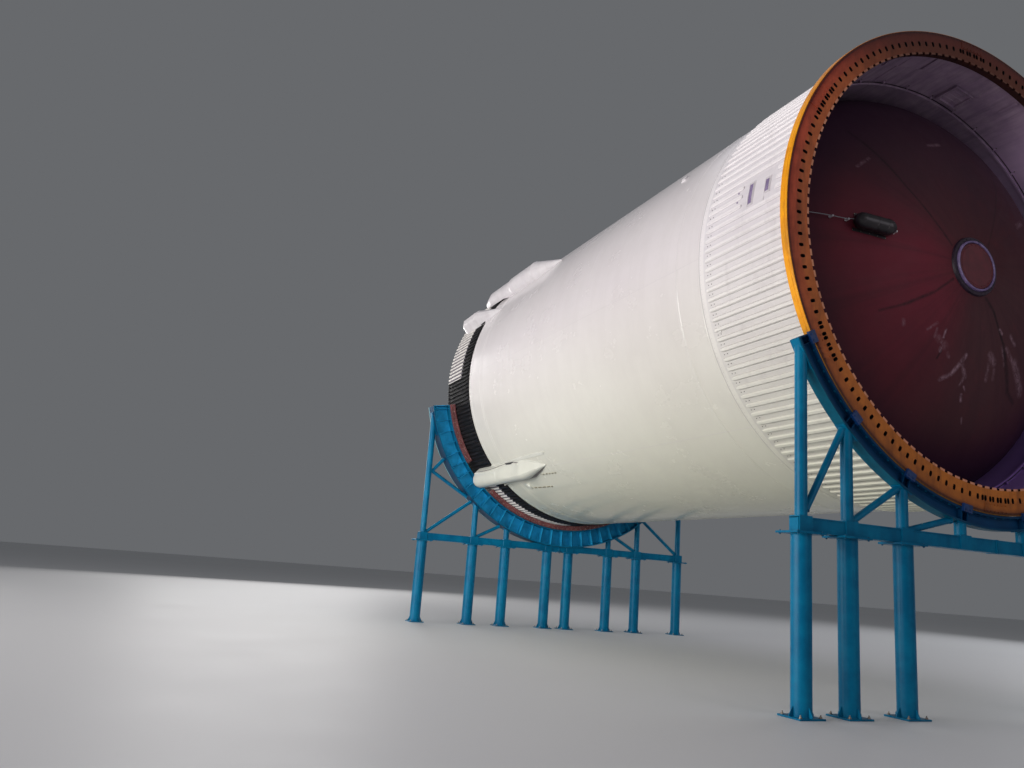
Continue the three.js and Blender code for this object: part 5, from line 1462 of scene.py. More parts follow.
def half_frame(end, side, name):
    F = FRAMES[end]
    p = Part(f"{end}_stand_{name}")
    x = XR - F["s"]
    bt, bb, bw, ro = F["bt"], F["bb"], F["bw"], F["ro"]
    Z = lambda d: AZ - d          # height of a depth below the axis
    top = [math.sqrt(ro ** 2 - y ** 2) for y, _ in F["cols"]]
    CU, CL, BR = 0.110, F["low"], 0.065
    depth = lambda y: max(bt, math.sqrt(max((ro + 0.002) ** 2 - y * y, 0.0)))      # of the beam's top, coped where the girder dips into it
    y_end, y0 = F["cols"][3][0] + F["end"], 0.0055

    def bx(xa, xb, ya, yb, za, zb, m=M_BLUE, b=0.006):
        bevel_box(p, (xa, min(side * ya, side * yb), za), (xb, max(side * ya, side * yb), zb), m, b)

    # box beam: two webs a little inside the flanges
    ys_ = sorted(set([y0, y_end] + [y for y in np.linspace(y0, 1.2, 14) if y < y_end]))

    def loft(xa, xb, z_lo, z_hi, ya=y0, yb=y_end):
        out = []
        for y in [q for q in ys_ if ya < q < yb] and [ya] + [q for q in ys_ if ya < q < yb] + [yb]:
            a, b = z_lo(y), z_hi(y)
            out.append([(xa, side * y, a), (xb, side * y, a), (xb, side * y, b), (xa, side * y, b)])
        rings(p, out, M_BLUE)

    loft(x - bw / 2, x + bw / 2, lambda y: Z(depth(y)) - 0.022, lambda y: Z(depth(y)))
    bx(x - bw / 2, x + bw / 2, y0, y_end, Z(bb), Z(bb) + 0.022, b=0.004)
    for sx in (-1, 1):
        loft(x + sx * (bw / 2 - 0.020) - 0.008, x + sx * (bw / 2 - 0.020) + 0.008, lambda y: Z(bb) + 0.018, lambda y: Z(depth(y)) - 0.018, y0 + 0.001, y_end - 0.001)
    # end plates at the middle joint, bolted together, and at the outer end
    dm = depth(0.0)
    bx(x - bw / 2 - 0.010, x + bw / 2 + 0.010, y0, y0 + 0.028, Z(bb) - 0.008, Z(dm) + (0.008 if dm == bt else 0.0), b=0.004)
    C = [(x + dx, side * (y0 + 0.028), Z((dm + bb) / 2) + dz * (bb - dm) / 0.255) for dx in (-bw / 2 + 0.03, bw / 2 - 0.03) for dz in (-0.08, 0.0, 0.08)]
    studs(p, C, (0, side, 0), 0.014, 0.018, M_BLUE_DARK, washer=0.022)
    bx(x - bw / 2 + 0.002, x + bw / 2 - 0.002, y_end - 0.016, y_end, Z(bb) + 0.002, Z(bt) - 0.002, b=0.004)

    def surface_z(y, r=ro + 0.001):
        return AZ - math.sqrt(r ** 2 - y ** 2)

    for i, (y, lower) in enumerate(F["cols"]):
        ys = side * y
        # upper column: its top is cut to the girder's curve
        n = 40
        B = np.arange(n) * 2 * math.pi / n
        bot = [(x + CU * math.cos(b), ys + CU * math.sin(b), Z(bt) - 0.004) for b in B]
        tp = [(x + CU * math.cos(b), ys + CU * math.sin(b), surface_z(ys + CU * math.sin(b)) - 0.001) for b in B]
        zb = Z(bt)
        if top[i] < bt:     # the girder rests on the beam itself where it dips below the beam's top
            mid = [[(q[0], q[1], zb + (q2[2] - zb) * t) for q, q2 in zip(bot, tp)] for t in (0.02, 0.5, 0.97)]
            rings(p, [bot] + mid + [tp], M_BLUE)
            # weld bead round the foot
            lathe(p, (x, ys, Z(bt)), (0, 0, 1), [(-0.002, CU + 0.012), (0.006, CU + 0.010), (0.014, CU + 0.002), (0.016, CU - 0.004)], M_BLUE, 40)
        # saddle plate under the girder's flange
        slope = math.degrees(math.asin(min(0.999, y / ro)))
        wdeg = math.degrees(0.155 / ro) / max(0.35, math.cos(rad(slope)))
        a_c = side * slope
        lo_a, hi_a = a_c - wdeg, a_c + wdeg
        lim = GIRDER[end]["half"]
        lo_a, hi_a = max(lo_a, -lim), min(hi_a, lim)
        sweep(p, [(F["s"] - 0.112, ro + 0.0005), (F["s"] + 0.112, ro + 0.0005), (F["s"] + 0.112, ro + 0.016), (F["s"] - 0.112, ro + 0.016)], arc(lo_a, hi_a, 0.6), M_BLUE)
        # fin plates between the column's head and the saddle plate, fore and aft
        for sx in (-1, 1):
            zt_ = surface_z(ys) - 0.02
            tri = [(x + sx * (CU - 0.004), ys - 0.007, zt_ - 0.19), (x + sx * (CU - 0.004), ys - 0.007, zt_ - 0.0), (x + sx * (bw / 2 - 0.008), ys - 0.007, zt_ - 0.0), (x + sx * (bw / 2 - 0.008), ys - 0.007, zt_ - 0.03)]
            if bw / 2 - 0.008 > CU and top[i] < bt:
                plate(p, tri, (0, 0.014, 0), M_BLUE)
        # box stub through the beam
        dd = depth(max(0.0, y - 0.15))
        bx(x - bw / 2 - 0.014, x + bw / 2 + 0.014, y - 0.150, y + 0.150, Z(bb) - 0.001, Z(dd) + (0.022 if dd == bt else -0.001), b=0.008)
        if lower:
            # cap plate, bearing plate and bolts
            cx, cy = 0.275, 0.330
            bx(x - cx, x + cx, y - cy, y + cy, Z(bb) - 0.040, Z(bb) - 0.002, b=0.005)
            bx(x - cx + 0.02, x + cx - 0.02, y - 0.20, y + 0.20, Z(bb) - 0.004, Z(bb) + 0.002, b=0.001)
            C = [(x + dx, ys + dy, Z(bb) - 0.002) for dx in (-0.225, 0.225) for dy in (-0.27, 0.27)]
            studs(p, C, (0, 0, 1), 0.016, 0.022, M_BLUE_DARK, washer=0.024)
            C = [(x + dx, ys + dy, Z(bb) - 0.040) for dx in (-0.225, 0.225) for dy in (-0.27, 0.27)]
            studs(p, C, (0, 0, -1), 0.016, 0.022, M_BLUE_DARK, washer=0.024)
            # lower column with a base collar, gussets, base plate and anchor bolts
            zt, zb = Z(bb) - 0.040, 0.030
            lathe(p, (x, ys, zb), (0, 0, 1), [(-0.001, CL + 0.014), (0.010, CL + 0.010), (0.016, CL), (2.0 if zt - zb > 2.1 else 1.0, CL), (zt - zb - 0.016, CL), (zt - zb - 0.008, CL + 0.010), (zt - zb + 0.001, CL + 0.014)], M_BLUE, 56)
            for k in range(4):
                c, s_ = math.cos(k * math.pi / 2), math.sin(k * math.pi / 2)
                for z0, zs in ((0.030, 1),):
                    R0, R1 = CL - 0.004, 0.262
                    t = 0.014
                    pts = [(R0, 0), (R1, 0), (R1, 0.03), (R0 + 0.012, 0.16 if zs > 0 else 0.12), (R0, 0.16 if zs > 0 else 0.12)]
                    out = [(x + c * a - s_ * t / 2, ys + s_ * a + c * t / 2, z0 + zs * b) for a, b in pts]
                    plate(p, out, (s_ * t, -c * t, 0), M_BLUE)
            bx(x - 0.275, x + 0.275, y - 0.275, y + 0.275, 0.0, 0.030, b=0.005)
            C = [(x + dx, ys + dy, 0.030) for dx in (-0.215, 0.215) for dy in (-0.215, 0.215)]
            studs(p, C, (0, 0, 1), 0.022, 0.03, M_BOLT, washer=0.036)
            for c3 in C:
                tube(p, (c3[0], c3[1], 0.05), (c3[0], c3[1], 0.085), 0.011, M_BOLT, 10, bev=0.002)

    def point(where, i, rise):
        y = F["cols"][i][0]
        if where == "top":
            return np.array([x, side * y, AZ - top[i] + rise])
        if where == "mid":
            return np.array([x, side * y, AZ - (top[i] + bt) / 2 + 0.330])
        return np.array([x, side * y, Z(bt) - 0.040])

    def brace(a, b, cut_a, cut_b):
        """A round brace with welded end plates; cut_a, cut_b: lengths hidden inside what it joins."""
        a, b = np.asarray(a, float), np.asarray(b, float)
        d = (b - a) / np.linalg.norm(b - a)
        a2, b2 = a + d * cut_a, b - d * cut_b
        tube(p, a2, b2, BR, M_BLUE, 32)
        for q, sg in ((a2, 1), (b2, -1)):
            lathe(p, q, d * sg, [(-0.004, BR + 0.010), (0.012, BR + 0.008), (0.022, BR + 0.001), (0.024, BR - 0.004)], M_BLUE, 32)

    for w0, i0, w1, i1, rise in F["braces"]:
        a, b = point(w0, i0, rise), point(w1, i1, rise)
        d = (b - a) / np.linalg.norm(b - a)
        if w0 == "top":   # starts at the girder's underside
            ca = 0.0
            while math.hypot((a + d * ca)[1], (a + d * ca)[2] - AZ) < ro + 0.02 and ca < 1:
                ca += 0.005
        else:
            ca = CU * 0.9 / max(0.2, abs(d[1]))
        if w1 == "top":
            cb = 0.0
            while math.hypot((b - d * cb)[1], (b - d * cb)[2] - AZ) < ro + 0.02 and cb < 1:
                cb += 0.005
        else:
            cb = CU * 0.9 / max(0.2, abs(d[1]))
        brace(a, b, ca, cb)
    for ya, za, yb, zb in F["struts"]:
        a, b = np.array([x, side * ya, AZ + za]), np.array([x, side * yb, AZ + zb])
        d = (b - a) / np.linalg.norm(b - a)
        cb = 0.0
        while math.hypot((b - d * cb)[1], (b - d * cb)[2] - AZ) < ro + 0.02 and cb < 1:
            cb += 0.005
        brace(a, b, CU * 0.9 / max(0.2, abs(d[1])), cb)
    p.make(slot="cradle_blue", replaces=[f"{end}_frame_{name}"])


# ------------------------------------------------------------------ thrust structure
CONE = dict(s0=17.95, s1=20.70, r0=4.91, r1=2.85)


def cone_r(s):
    return CONE["r0"] + (CONE["r1"] + 0.06 - CONE["r0"]) * (s - CONE["s0"]) / (CONE["s1"] - CONE["s0"])


def thrust_structure():
    p = Part("thrust_cone_shell")
    s0, s1 = 17.951, 20.699
    # skin with pressed hats outside, as one sheet
    count = 72
    S = np.array([s0, s0 + 0.05, s0 + 0.12, 18.6, 19.3, 19.9, s1 - 0.2, s1 - 0.13, s1 - 0.05, s1])
    f = np.sqrt(1 - (1 - np.clip(np.minimum((S - s0 - 0.04) / 0.08, (s1 - 0.04 - S) / 0.09), 0, 1)) ** 2)
    cols = [(-2.5, 0), (-1.15, 0), (-0.8, 1), (0.8, 1), (1.15, 0)]
    pts = np.zeros((count * 5, len(S), 3))
    base = np.array([cone_r(s) for s in S]) - 0.040
    for j, (c, l) in enumerate(cols):
        A = -180 + 5.0 * np.arange(count) + c
        pts[j::5] = P(S[None, :], A[:, None], (base + 0.037 * l * f)[None, :])
    p.grid(pts, M_GREEN, wu=True)
    A = np.degrees(np.arctan2(pts[:, 0, 1], -(pts[:, 0, 2] - AZ)))
    prof = [(s0, base[0] - 0.025)]
    for sc in (18.5, 19.1, 19.7, 20.3):
        r = cone_r(sc) - 0.065
        k = (CONE["r1"] + 0.06 - CONE["r0"]) / (CONE["s1"] - CONE["s0"])
        prof += [(sc, r), (sc, r - 0.10), (sc + 0.015, r - 0.10), (sc + 0.015, r - 0.02), (sc + 0.03, r + k * 0.03)]
    prof += [(s1 - 0.081, cone_r(s1 - 0.08) - 0.065), (s1 - 0.08, CONE["r1"] - 0.158), (s1, CONE["r1"] - 0.158)]
    inner = P(np.array([q[0] for q in prof])[None, :], A[:, None], np.array([q[1] for q in prof])[None, :])
    p.grid(inner, M_GREEN, wu=True)
    for a, b in ((pts[:, 0], inner[:, 0]), (pts[:, -1], inner[:, -1])):
        p.grid(np.stack([a, b], 1), M_GREEN, wu=True)
    # bolts round the aft flange
    A1 = np.arange(-177.5, 180, 5.0)
    studs(p, P(20.62, A1, cone_r(20.62) - 0.038), P(0, A1, 1) - P(0, A1, 0), 0.014, 0.014, M_BOLT, washer=0.02)
    p.make(slot="primer_green", replaces=["thrust_cone"])

    q = Part("aft_dome_skin")
    R = np.concatenate([np.linspace(0.03, 4.0, 30), 4.77 * np.sin(np.linspace(math.asin(4.05 / 4.77), math.asin(0.9985), 10))])
    S = np.array([17.0 + 2.795 * math.sqrt(max(0, 1 - (r / 4.78) ** 2)) for r in R])
    keep = S > 17.112
    S, R = S[keep], R[keep]
    A = np.arange(144) * 2.5
    pts = P(S[None, :], A[:, None], R[None, :])
    q.grid(pts, M_GREY, wu=True)
    q.grid(np.stack([pts[:, -1], P(17.1115, A, R[-1]), P(17.1115, A, 0.03)], 1), M_GREY, wu=True)
    q.add(P(17.1115, A, 0.03), [np.arange(144)], M_GREY)
    q.add(P(S[0], A, 0.03), [np.arange(144)], M_GREY)
    q.make(slot="shield_grey", replaces=["aft_dome"])

    # beam details over the mount frame
    w = Part("mount_frame_details")
    for a in (45, 135, 225, 315):
        u = np.array([0, math.sin(rad(a)), -math.cos(rad(a))])
        v = np.array([0, math.cos(rad(a)), math.sin(rad(a))])
        for t in (0.75, 1.15, 1.55):
            for sg in (-1, 1):
                o = np.array([XR - 20.775, 0, AZ]) + u * t + v * sg * 0.1505
                bevel_box(w, (-0.070, -0.010, 0.0), (0.070, 0.010, 0.055), M_GREEN, 0.003, axes=[np.array([1.0, 0, 0]), u, v * sg], origin=o)
    for k in range(24):
        a = 7.5 + k * 15
        if min(abs((a - b + 180) % 360 - 180) for b in (45, 135, -45, -135)) < 16:
            continue
        C = [P(20.851, a, 2.66)]
        studs(w, C, (-1, 0, 0), 0.03, 0.03, M_BOLT, washer=0.045)
    for a in (0, 90, 180, 270):
        # propellant feed elbows on the ring, between the engines
        o = P(20.852, a, 2.55)
        lathe(w, o, (-1, 0, 0), [(0, 0.13), (0.02, 0.13), (0.022, 0.1), (0.10, 0.1), (0.102, 0.12), (0.12, 0.12), (0.125, 0.05), (0.126, 0.001)], M_STEEL, 28)
    w.make(slot="primer_green")

    # heat shield: blanket-covered plate with round openings, collars, seam strips and its posts
    h = Part("heat_shield_blanket_plate")
    holes = [(0.0, 0.0, 0.441)] + [(ys * 1.886, zs * 1.886, 0.641) for ys, zs in ((1, 1), (1, -1), (-1, -1), (-1, 1))]
    return h, holes


def heat_shield(h, holes):
    """The plate is filled with triangles between the outer circle and the openings, so that every edge is round."""
    S0, S1, RO = 22.151, 22.189, 3.499
    bm = bmesh.new()
    # outer circle and holes as edge loops, filled by triangulation
    loops = []

    def loop(cy, cz, r, n):
        vs = [bm.verts.new((0, cy + r * math.cos(2 * math.pi * k / n), cz + r * math.sin(2 * math.pi * k / n))) for k in range(n)]
        es = [bm.edges.new((vs[k], vs[(k + 1) % n])) for k in range(n)]
        return vs, es

    edges = []
    for cy, cz, r, n in [(0, 0, RO, 128)] + [(cy, cz, r, 48) for cy, cz, r in holes]:
        vs, es = loop(cy, cz, r, n)
        loops.append(vs)
        edges += es
    bmesh.ops.triangle_fill(bm, use_beauty=True, use_dissolve=False, edges=edges)
    bm.verts.index_update()
    V = np.array([v.co[:] for v in bm.verts])
    T = np.array([[v.index for v in f.verts] for f in bm.faces])
    L = [[v.index for v in vs] for vs in loops]
    bm.free()
    for s in (S0, S1):
        W = V.copy()
        W[:, 0] = XR - s
        W[:, 2] += AZ
        h.add(W, [T], M_SHIELD)
    for ids in L:
        a = V[ids].copy()
        b = a.copy()
        a[:, 0], b[:, 0] = XR - S0, XR - S1
        a[:, 2] += AZ
        b[:, 2] += AZ
        h.grid(np.stack([a, b], 1), M_SHIELD, wu=True)
    # seam strips, hole collars, rim band
    for cy, cz, r in holes:
        lathe_ring = [(22.1895, r + 0.002), (22.1895, r + 0.075), (22.181, r + 0.080)]
        revolve(h, [(22.1885, r + 0.001), (22.1885, r + 0.08), (22.1945, r + 0.075), (22.1945, r + 0.005)], M_STEEL, 64, yc=cy, zc=cz)
        A = np.arange(0, 360, 15.0)
        studs(h, P(22.1945, A, r + 0.04, cy, cz), (-1, 0, 0), 0.010, 0.008, M_BOLT)
    revolve(h, [(22.1885, RO - 0.07), (22.1885, RO - 0.001), (22.1945, RO - 0.004), (22.1945, RO - 0.068)], M_STEEL, 128)
    for a in (0, 90, 180, 270):
        u = np.array([0, math.sin(rad(a)), -math.cos(rad(a))])
        v = np.array([0, math.cos(rad(a)), math.sin(rad(a))])
        bevel_box(h, (0, -0.03, 0.53), (0.006, 0.03, 3.42), M_STEEL, 0.002, axes=[np.array([-1.0, 0, 0]), v, u], origin=(XR - 22.189, 0, AZ))
        C = [np.array([XR - 22.195, 0, AZ]) + u * t for t in np.arange(0.65, 3.4, 0.25)]
        studs(h, C, (-1, 0, 0), 0.010, 0.008, M_BOLT)
    # posts with end fittings
    for q in (0, 90, 180, 270):
        for d in (-12, 12):
            a, b = P(20.8505, q + d, 2.88), P(22.152, q + d, 2.88)
            lathe(h, a, (-1, 0, 0), [(0.0, 0.054), (0.025, 0.054), (0.03, 0.04), (1.26, 0.04), (1.27, 0.054), (1.30, 0.054)], M_STEEL, 24)
    # stiffening ring on the forward side
    revolve(h, [(22.09, 3.30), (22.09, 3.34), (22.1515, 3.34), (22.1515, 3.30)], M_GREEN, 96)
    h.make(slot="shield_grey", replaces=["base_heat_shield"])


# ------------------------------------------------------------------ engines
GB = 21.0


def bell(name, yc, zc, body, replaces):
    p = Part(name)
    # outer wall: tubes side by side, swelling with the radius; smooth curve through the contour
    prof = np.array([(1.0105, 0.2), (1.10, 0.24), (1.2, 0.325), (1.3, 0.415), (1.45, 0.525), (1.6, 0.618), (1.8, 0.705), (2.05, 0.787), (2.3, 0.861), (2.45, 0.896), (2.7, 0.93), (3.0, 0.965), (3.25, 0.988), (3.37, 0.996)])
    ee = np.concatenate([np.linspace(1.0105, 1.5, 11), np.linspace(1.5, 3.37, 17)[1:]])
    rr = np.interp(ee, prof[:, 0], prof[:, 1])
    rr = np.convolve(np.pad(rr, 1, "edge"), [0.25, 0.5, 0.25], "valid")
    nt = 90
    cols = nt * 4
    A = np.arange(cols) * 360.0 / cols
    wave = np.array([0.0, 0.75, 1.0, 0.75])[np.arange(cols) % 4]
    amp = np.clip(0.012 * rr, 0.003, 0.011)
    R = rr[None, :] - amp[None, :] + amp[None, :] * wave[:, None]
    p.grid(P(GB + ee[None, :], A[:, None], R, yc, zc), M_BELL, wu=True)
    Ri = (rr - 0.034)[None, :] - amp[None, :] * 0.6 * wave[:, None]
    p.grid(P(GB + ee[None, ::2], A[:, None], Ri[:, ::2], yc, zc), M_BELL, wu=True)
    for k, s in ((0, ee[0]), (-1, ee[-1])):
        p.grid(np.stack([P(GB + s, A, R[:, k], yc, zc), P(GB + s, A, Ri[:, k], yc, zc)], 1), M_BELL, wu=True)
    # hatbands, exit stiffener and the exhaust manifold round the middle
    for e in (1.34, 1.52, 1.72, 2.32, 2.58, 2.84, 3.08):
        r = float(np.interp(e, ee, rr))
        sl = float(np.interp(e + 0.02, ee, rr) - r)
        revolve(p, [(GB + e - 0.016, r - 0.003 - sl), (GB + e - 0.013, r + 0.013 - sl), (GB + e + 0.013, r + 0.013 + sl), (GB + e + 0.016, r - 0.003 + sl)], M_STEEL, 72, yc=yc, zc=zc)
    revolve(p, [(GB + 3.335, 0.955), (GB + 3.335, 0.9995), (GB + 3.379, 0.9995), (GB + 3.379, 0.958)], M_STEEL, 120, yc=yc, zc=zc)
    T = np.arange(12) * 2 * math.pi / 12
    for e, r, t in ((2.02, 0.815, 0.062), (1.13, 0.305, 0.05)):
        revolve(p, [(GB + e + t * math.sin(q), r + t * math.cos(q)) for q in T], M_FOIL if e > 1.5 else M_IRON, 72, yc=yc, zc=zc)
    # feed pipe from the side to the manifold
    sy = 1 if yc >= 0 else -1
    pts = [P(GB + 1.40, 150 * sy, 0.505, yc, zc), P(GB + 1.5, 150 * sy, 0.60, yc, zc), P(GB + 1.7, 150 * sy, 0.715, yc, zc), P(GB + 1.95, 150 * sy, 0.825, yc, zc), P(GB + 2.03, 150 * sy, 0.83, yc, zc)]
    pipe(p, smooth_path(pts, 6), 0.045, M_FOIL, n=14)
    for k in range(8):
        a = 22.5 + 45 * k
        e0 = 2.35
        C = [P(GB + e, a, float(np.interp(e, ee, rr)) + 0.008, yc, zc) for e in (2.45, 2.72, 2.98)]
        studs(p, C, P(0, a, 1, 0, 0) - P(0, a, 0, 0, 0), 0.012, 0.012, M_BOLT)
    p.make(body=body, slot="engine_metal", replaces=replaces, sharp=30)


def powerhead(name, yc, zc, ys, zs, gimballed, body, replaces):
    p = Part(name)
    ax = (-1, 0, 0)
    O = lambda e, y=0.0, z=0.0: np.array([XR - GB - e, yc + y, AZ + zc + z])
    # propellant dome, injector flange and chamber down to the bell
    prof = [(0.151, 0.13), (0.151, 0.198), (0.205, 0.198), (0.209, 0.19), (0.212, 0.128), (0.225, 0.125), (0.325, 0.125), (0.345, 0.16), (0.375, 0.245), (0.405, 0.305), (0.43, 0.325), (0.452, 0.335), (0.455, 0.348),
            (0.505, 0.348), (0.508, 0.335), (0.53, 0.335), (0.533, 0.345), (0.575, 0.345), (0.58, 0.325), (0.66, 0.322), (0.72, 0.285), (0.80, 0.21), (0.86, 0.178), (0.93, 0.168), (0.98, 0.168), (0.985, 0.19), (1.0085, 0.19)]
    lathe(p, O(0), ax, [(a, b) for a, b in prof], M_IRON, 48)
    A = np.arange(0, 360, 15.0)
    studs(p, P(GB + 0.455, A, 0.336, yc, zc), (1, 0, 0), 0.012, 0.016, M_BOLT)
    studs(p, P(GB + 0.575, A, 0.334, yc, zc), (-1, 0, 0), 0.012, 0.016, M_BOLT)
    studs(p, P(GB + 0.151, np.arange(0, 360, 30.0), 0.165, yc, zc), (1, 0, 0), 0.014, 0.014, M_BOLT)
    # coolant ribs on the chamber
    for e in (0.60, 0.625, 0.65):
        revolve(p, [(GB + e - 0.005, 0.318), (GB + e - 0.004, 0.333), (GB + e + 0.004, 0.333), (GB + e + 0.005, 0.318)], M_IRON, 48, yc=yc, zc=zc)
    # two turbopumps with volutes, flanges and ducts
    for y, z, r, e0, e1, vol in ((-ys * 0.48, 0.0, 0.148, 0.30, 0.88, 0.055), (0.0, -zs * 0.47, 0.128, 0.34, 0.86, 0.05)):
        L = e1 - e0
        prof = [(0.0, 0.03), (0.0, 0.07), (0.02, 0.085), (0.05, 0.09), (0.06, r * 0.8), (0.085, r * 0.8), (0.09, r * 0.66), (0.16, r * 0.7), (0.20, r * 0.95), (0.24, r), (0.33, r), (0.345, r * 0.97), (0.36, r * 0.8), (0.40, r * 0.74),
                (0.41, r * 0.86), (0.43, r * 0.86), (0.44, r * 0.7), (L - 0.06, r * 0.62), (L - 0.05, r * 0.74), (L - 0.02, r * 0.74), (L, r * 0.6), (L, 0.02)]
        lathe(p, O(e0, y, z), ax, prof, M_IRON, 36)
        studs(p, [O(e0 + 0.06, y + r * 0.72 * math.cos(t), z + r * 0.72 * math.sin(t)) for t in np.arange(0, 6.28, math.pi / 6)], (1, 0, 0), 0.010, 0.012, M_BOLT)
        # volute: a spiral that grows from the pump and turns in to the chamber
        c = O(e0 + 0.285, y, z)
        inward = np.array([0, -y, -z]) / math.hypot(y, z)
        side = np.cross(inward, np.array([1.0, 0, 0]))
        pts, rad_ = [], []
        for t in np.linspace(0, 1, 30):
            q = 2 * math.pi * t * 0.95
            pts.append(c + (inward * math.cos(q) + side * math.sin(q)) * (r - 0.028))
            rad_.append(0.018 + (vol - 0.030) * t)
        pipe(p, pts, rad_, M_IRON, n=12)
        # high-pressure duct: out of the volute, round and into the injector
        d = math.hypot(y, z)
        mid = O(e0 + 0.285, y, z)
        path = [mid + inward * (r - 0.04), mid + inward * (r + 0.01) + np.array([0.01, 0, 0]), O(0.515, *(np.array([y, z]) * (0.36 / d)))]
        pipe(p, smooth_path(path, 6), 0.052, M_FOIL, n=18)
        lathe(p, mid + inward * (r - 0.012), inward, [(-0.012, 0.04), (-0.012, 0.072), (0.012, 0.072), (0.012, 0.04)], M_STEEL, 24)
        # support strut from the pump's tail to the throat
        tube(p, O(e1 - 0.08, y * 0.86, z * 0.86), O(0.93, y * 0.3, z * 0.3), 0.018, M_STEEL, 12)
    # wiring loom and small line that wrap the chamber
    pts = [O(0.30 + 0.05 * t, 0.3 * math.cos(2.4 * t + 0.4) * 0.55, 0.3 * math.sin(2.4 * t + 0.4) * 0.55) for t in np.linspace(0, 2.0, 14)]
    pipe(p, smooth_path([O(0.22, 0.09, 0.09), O(0.28, 0.17, 0.14), O(0.36, 0.24, 0.21), O(0.45, 0.262, 0.25), O(0.56, 0.262, 0.25), O(0.68, 0.22, 0.21), O(0.80, 0.16, 0.155)], 5), 0.012, M_DARK, n=8)
    pipe(p, smooth_path([O(0.24, -0.09, 0.10), O(0.33, -0.19, 0.18), O(0.45, -0.262, 0.255), O(0.60, -0.25, 0.25), O(0.78, -0.19, 0.17)], 5), 0.009, M_STEEL, n=8)
    if gimballed:
        # lugs round the cross pins, on the bearing block
        for k in (-1, 1):
            z0 = k * 0.13
            outline = [(0.170, 0.039), (0.02, 0.039)] + [(-0.044 * math.sin(t) if True else 0, 0.039 * math.cos(t)) for t in np.linspace(0.2, math.pi - 0.2, 8)] + [(0.02, -0.039), (0.170, -0.039)]
            R0, R1 = 0.0312, 0.039
            B = np.linspace(0, 2 * math.pi, 25)[:-1]
            # ring round the pin, and the arm back to the flange
            for z1, z2 in ((z0 - 0.029, z0 + 0.029),):
                inn = [O(0, 0, 0) + np.array([R0 * math.cos(b), R0 * math.sin(b), 0]) for b in B]
                out = [O(0, 0, 0) + np.array([0.044 * math.cos(b), 0.0395 * math.sin(b), 0]) for b in B]
                a, b_ = np.array(inn), np.array(out)
                q = np.stack([a + [0, 0, z1], b_ + [0, 0, z1], b_ + [0, 0, z2], a + [0, 0, z2]], 1)
                p.grid(q, M_STEEL, wu=True, wv=True)
            lo = np.array([XR - GB - 0.170, yc - 0.038, AZ + zc + z0 - 0.0285])
            hi = np.array([XR - GB - 0.0385, yc + 0.038, AZ + zc + z0 + 0.0285])
            bevel_box(p, lo, hi, M_STEEL, 0.004)
        # pads that the actuators push, on braced arms
        for y, z in ((0.0, zs * 0.6), (ys * 0.6, 0.0)):
            lathe(p, O(0.695, y, z), ax, [(0.0, 0.05), (0.0, 0.074), (0.004, 0.0795), (0.056, 0.0795), (0.06, 0.074), (0.06, 0.03)], M_STEEL, 28)
            tube(p, O(0.725, y * 0.9, z * 0.9), O(0.725, y * 0.42, z * 0.42), 0.027, M_STEEL, 16)
            u = np.array([0, y, z]) / 0.6
            v = np.cross(u, [1.0, 0, 0])
            tube(p, O(0.725, y * 0.88, z * 0.88), O(0.60, y * 0.45, z * 0.45) + v * 0.09, 0.014, M_STEEL, 10)
            tube(p, O(0.725, y * 0.88, z * 0.88), O(0.60, y * 0.45, z * 0.45) - v * 0.09, 0.014, M_STEEL, 10)
    else:
        # fixed thrust post
        lathe(p, O(0), ax, [(-0.1495, 0.07), (-0.1495, 0.109), (-0.13, 0.109), (-0.128, 0.09), (0.12, 0.09), (0.122, 0.109), (0.155, 0.109), (0.155, 0.05)], M_STEEL, 36)
        for k in range(8):
            a = 22.5 + 45 * k
            studs(p, [P(GB - 0.128, a, 0.1, yc, zc)], (-1, 0, 0), 0.007, 0.012, M_BOLT)
    p.make(body=body, slot="engine_metal", replaces=replaces, sharp=30)


def gimbal_cross(i, yc, zc, body):
    p = Part(f"engine_{i}_cross")
    c = np.array([XR - GB, yc, AZ + zc])
    # forged block with cut corners, and four turned pins with end caps
    bevel_box(p, (-0.0475, -0.0935, -0.0935), (0.0475, 0.0935, 0.0935), M_STEEL, 0.014, axes=np.eye(3), origin=c)
    for d in ((0, 1, 0), (0, -1, 0), (0, 0, 1), (0, 0, -1)):
        lathe(p, c, d, [(0.09, 0.034), (0.0965, 0.034), (0.098, 0.0278), (0.150, 0.0278), (0.1555, 0.023), (0.1556, 0.004)], M_STEEL, 28)
    p.make(body=body, slot="gimbal_steel", replaces=[f"engine_{i}_gimbal"])


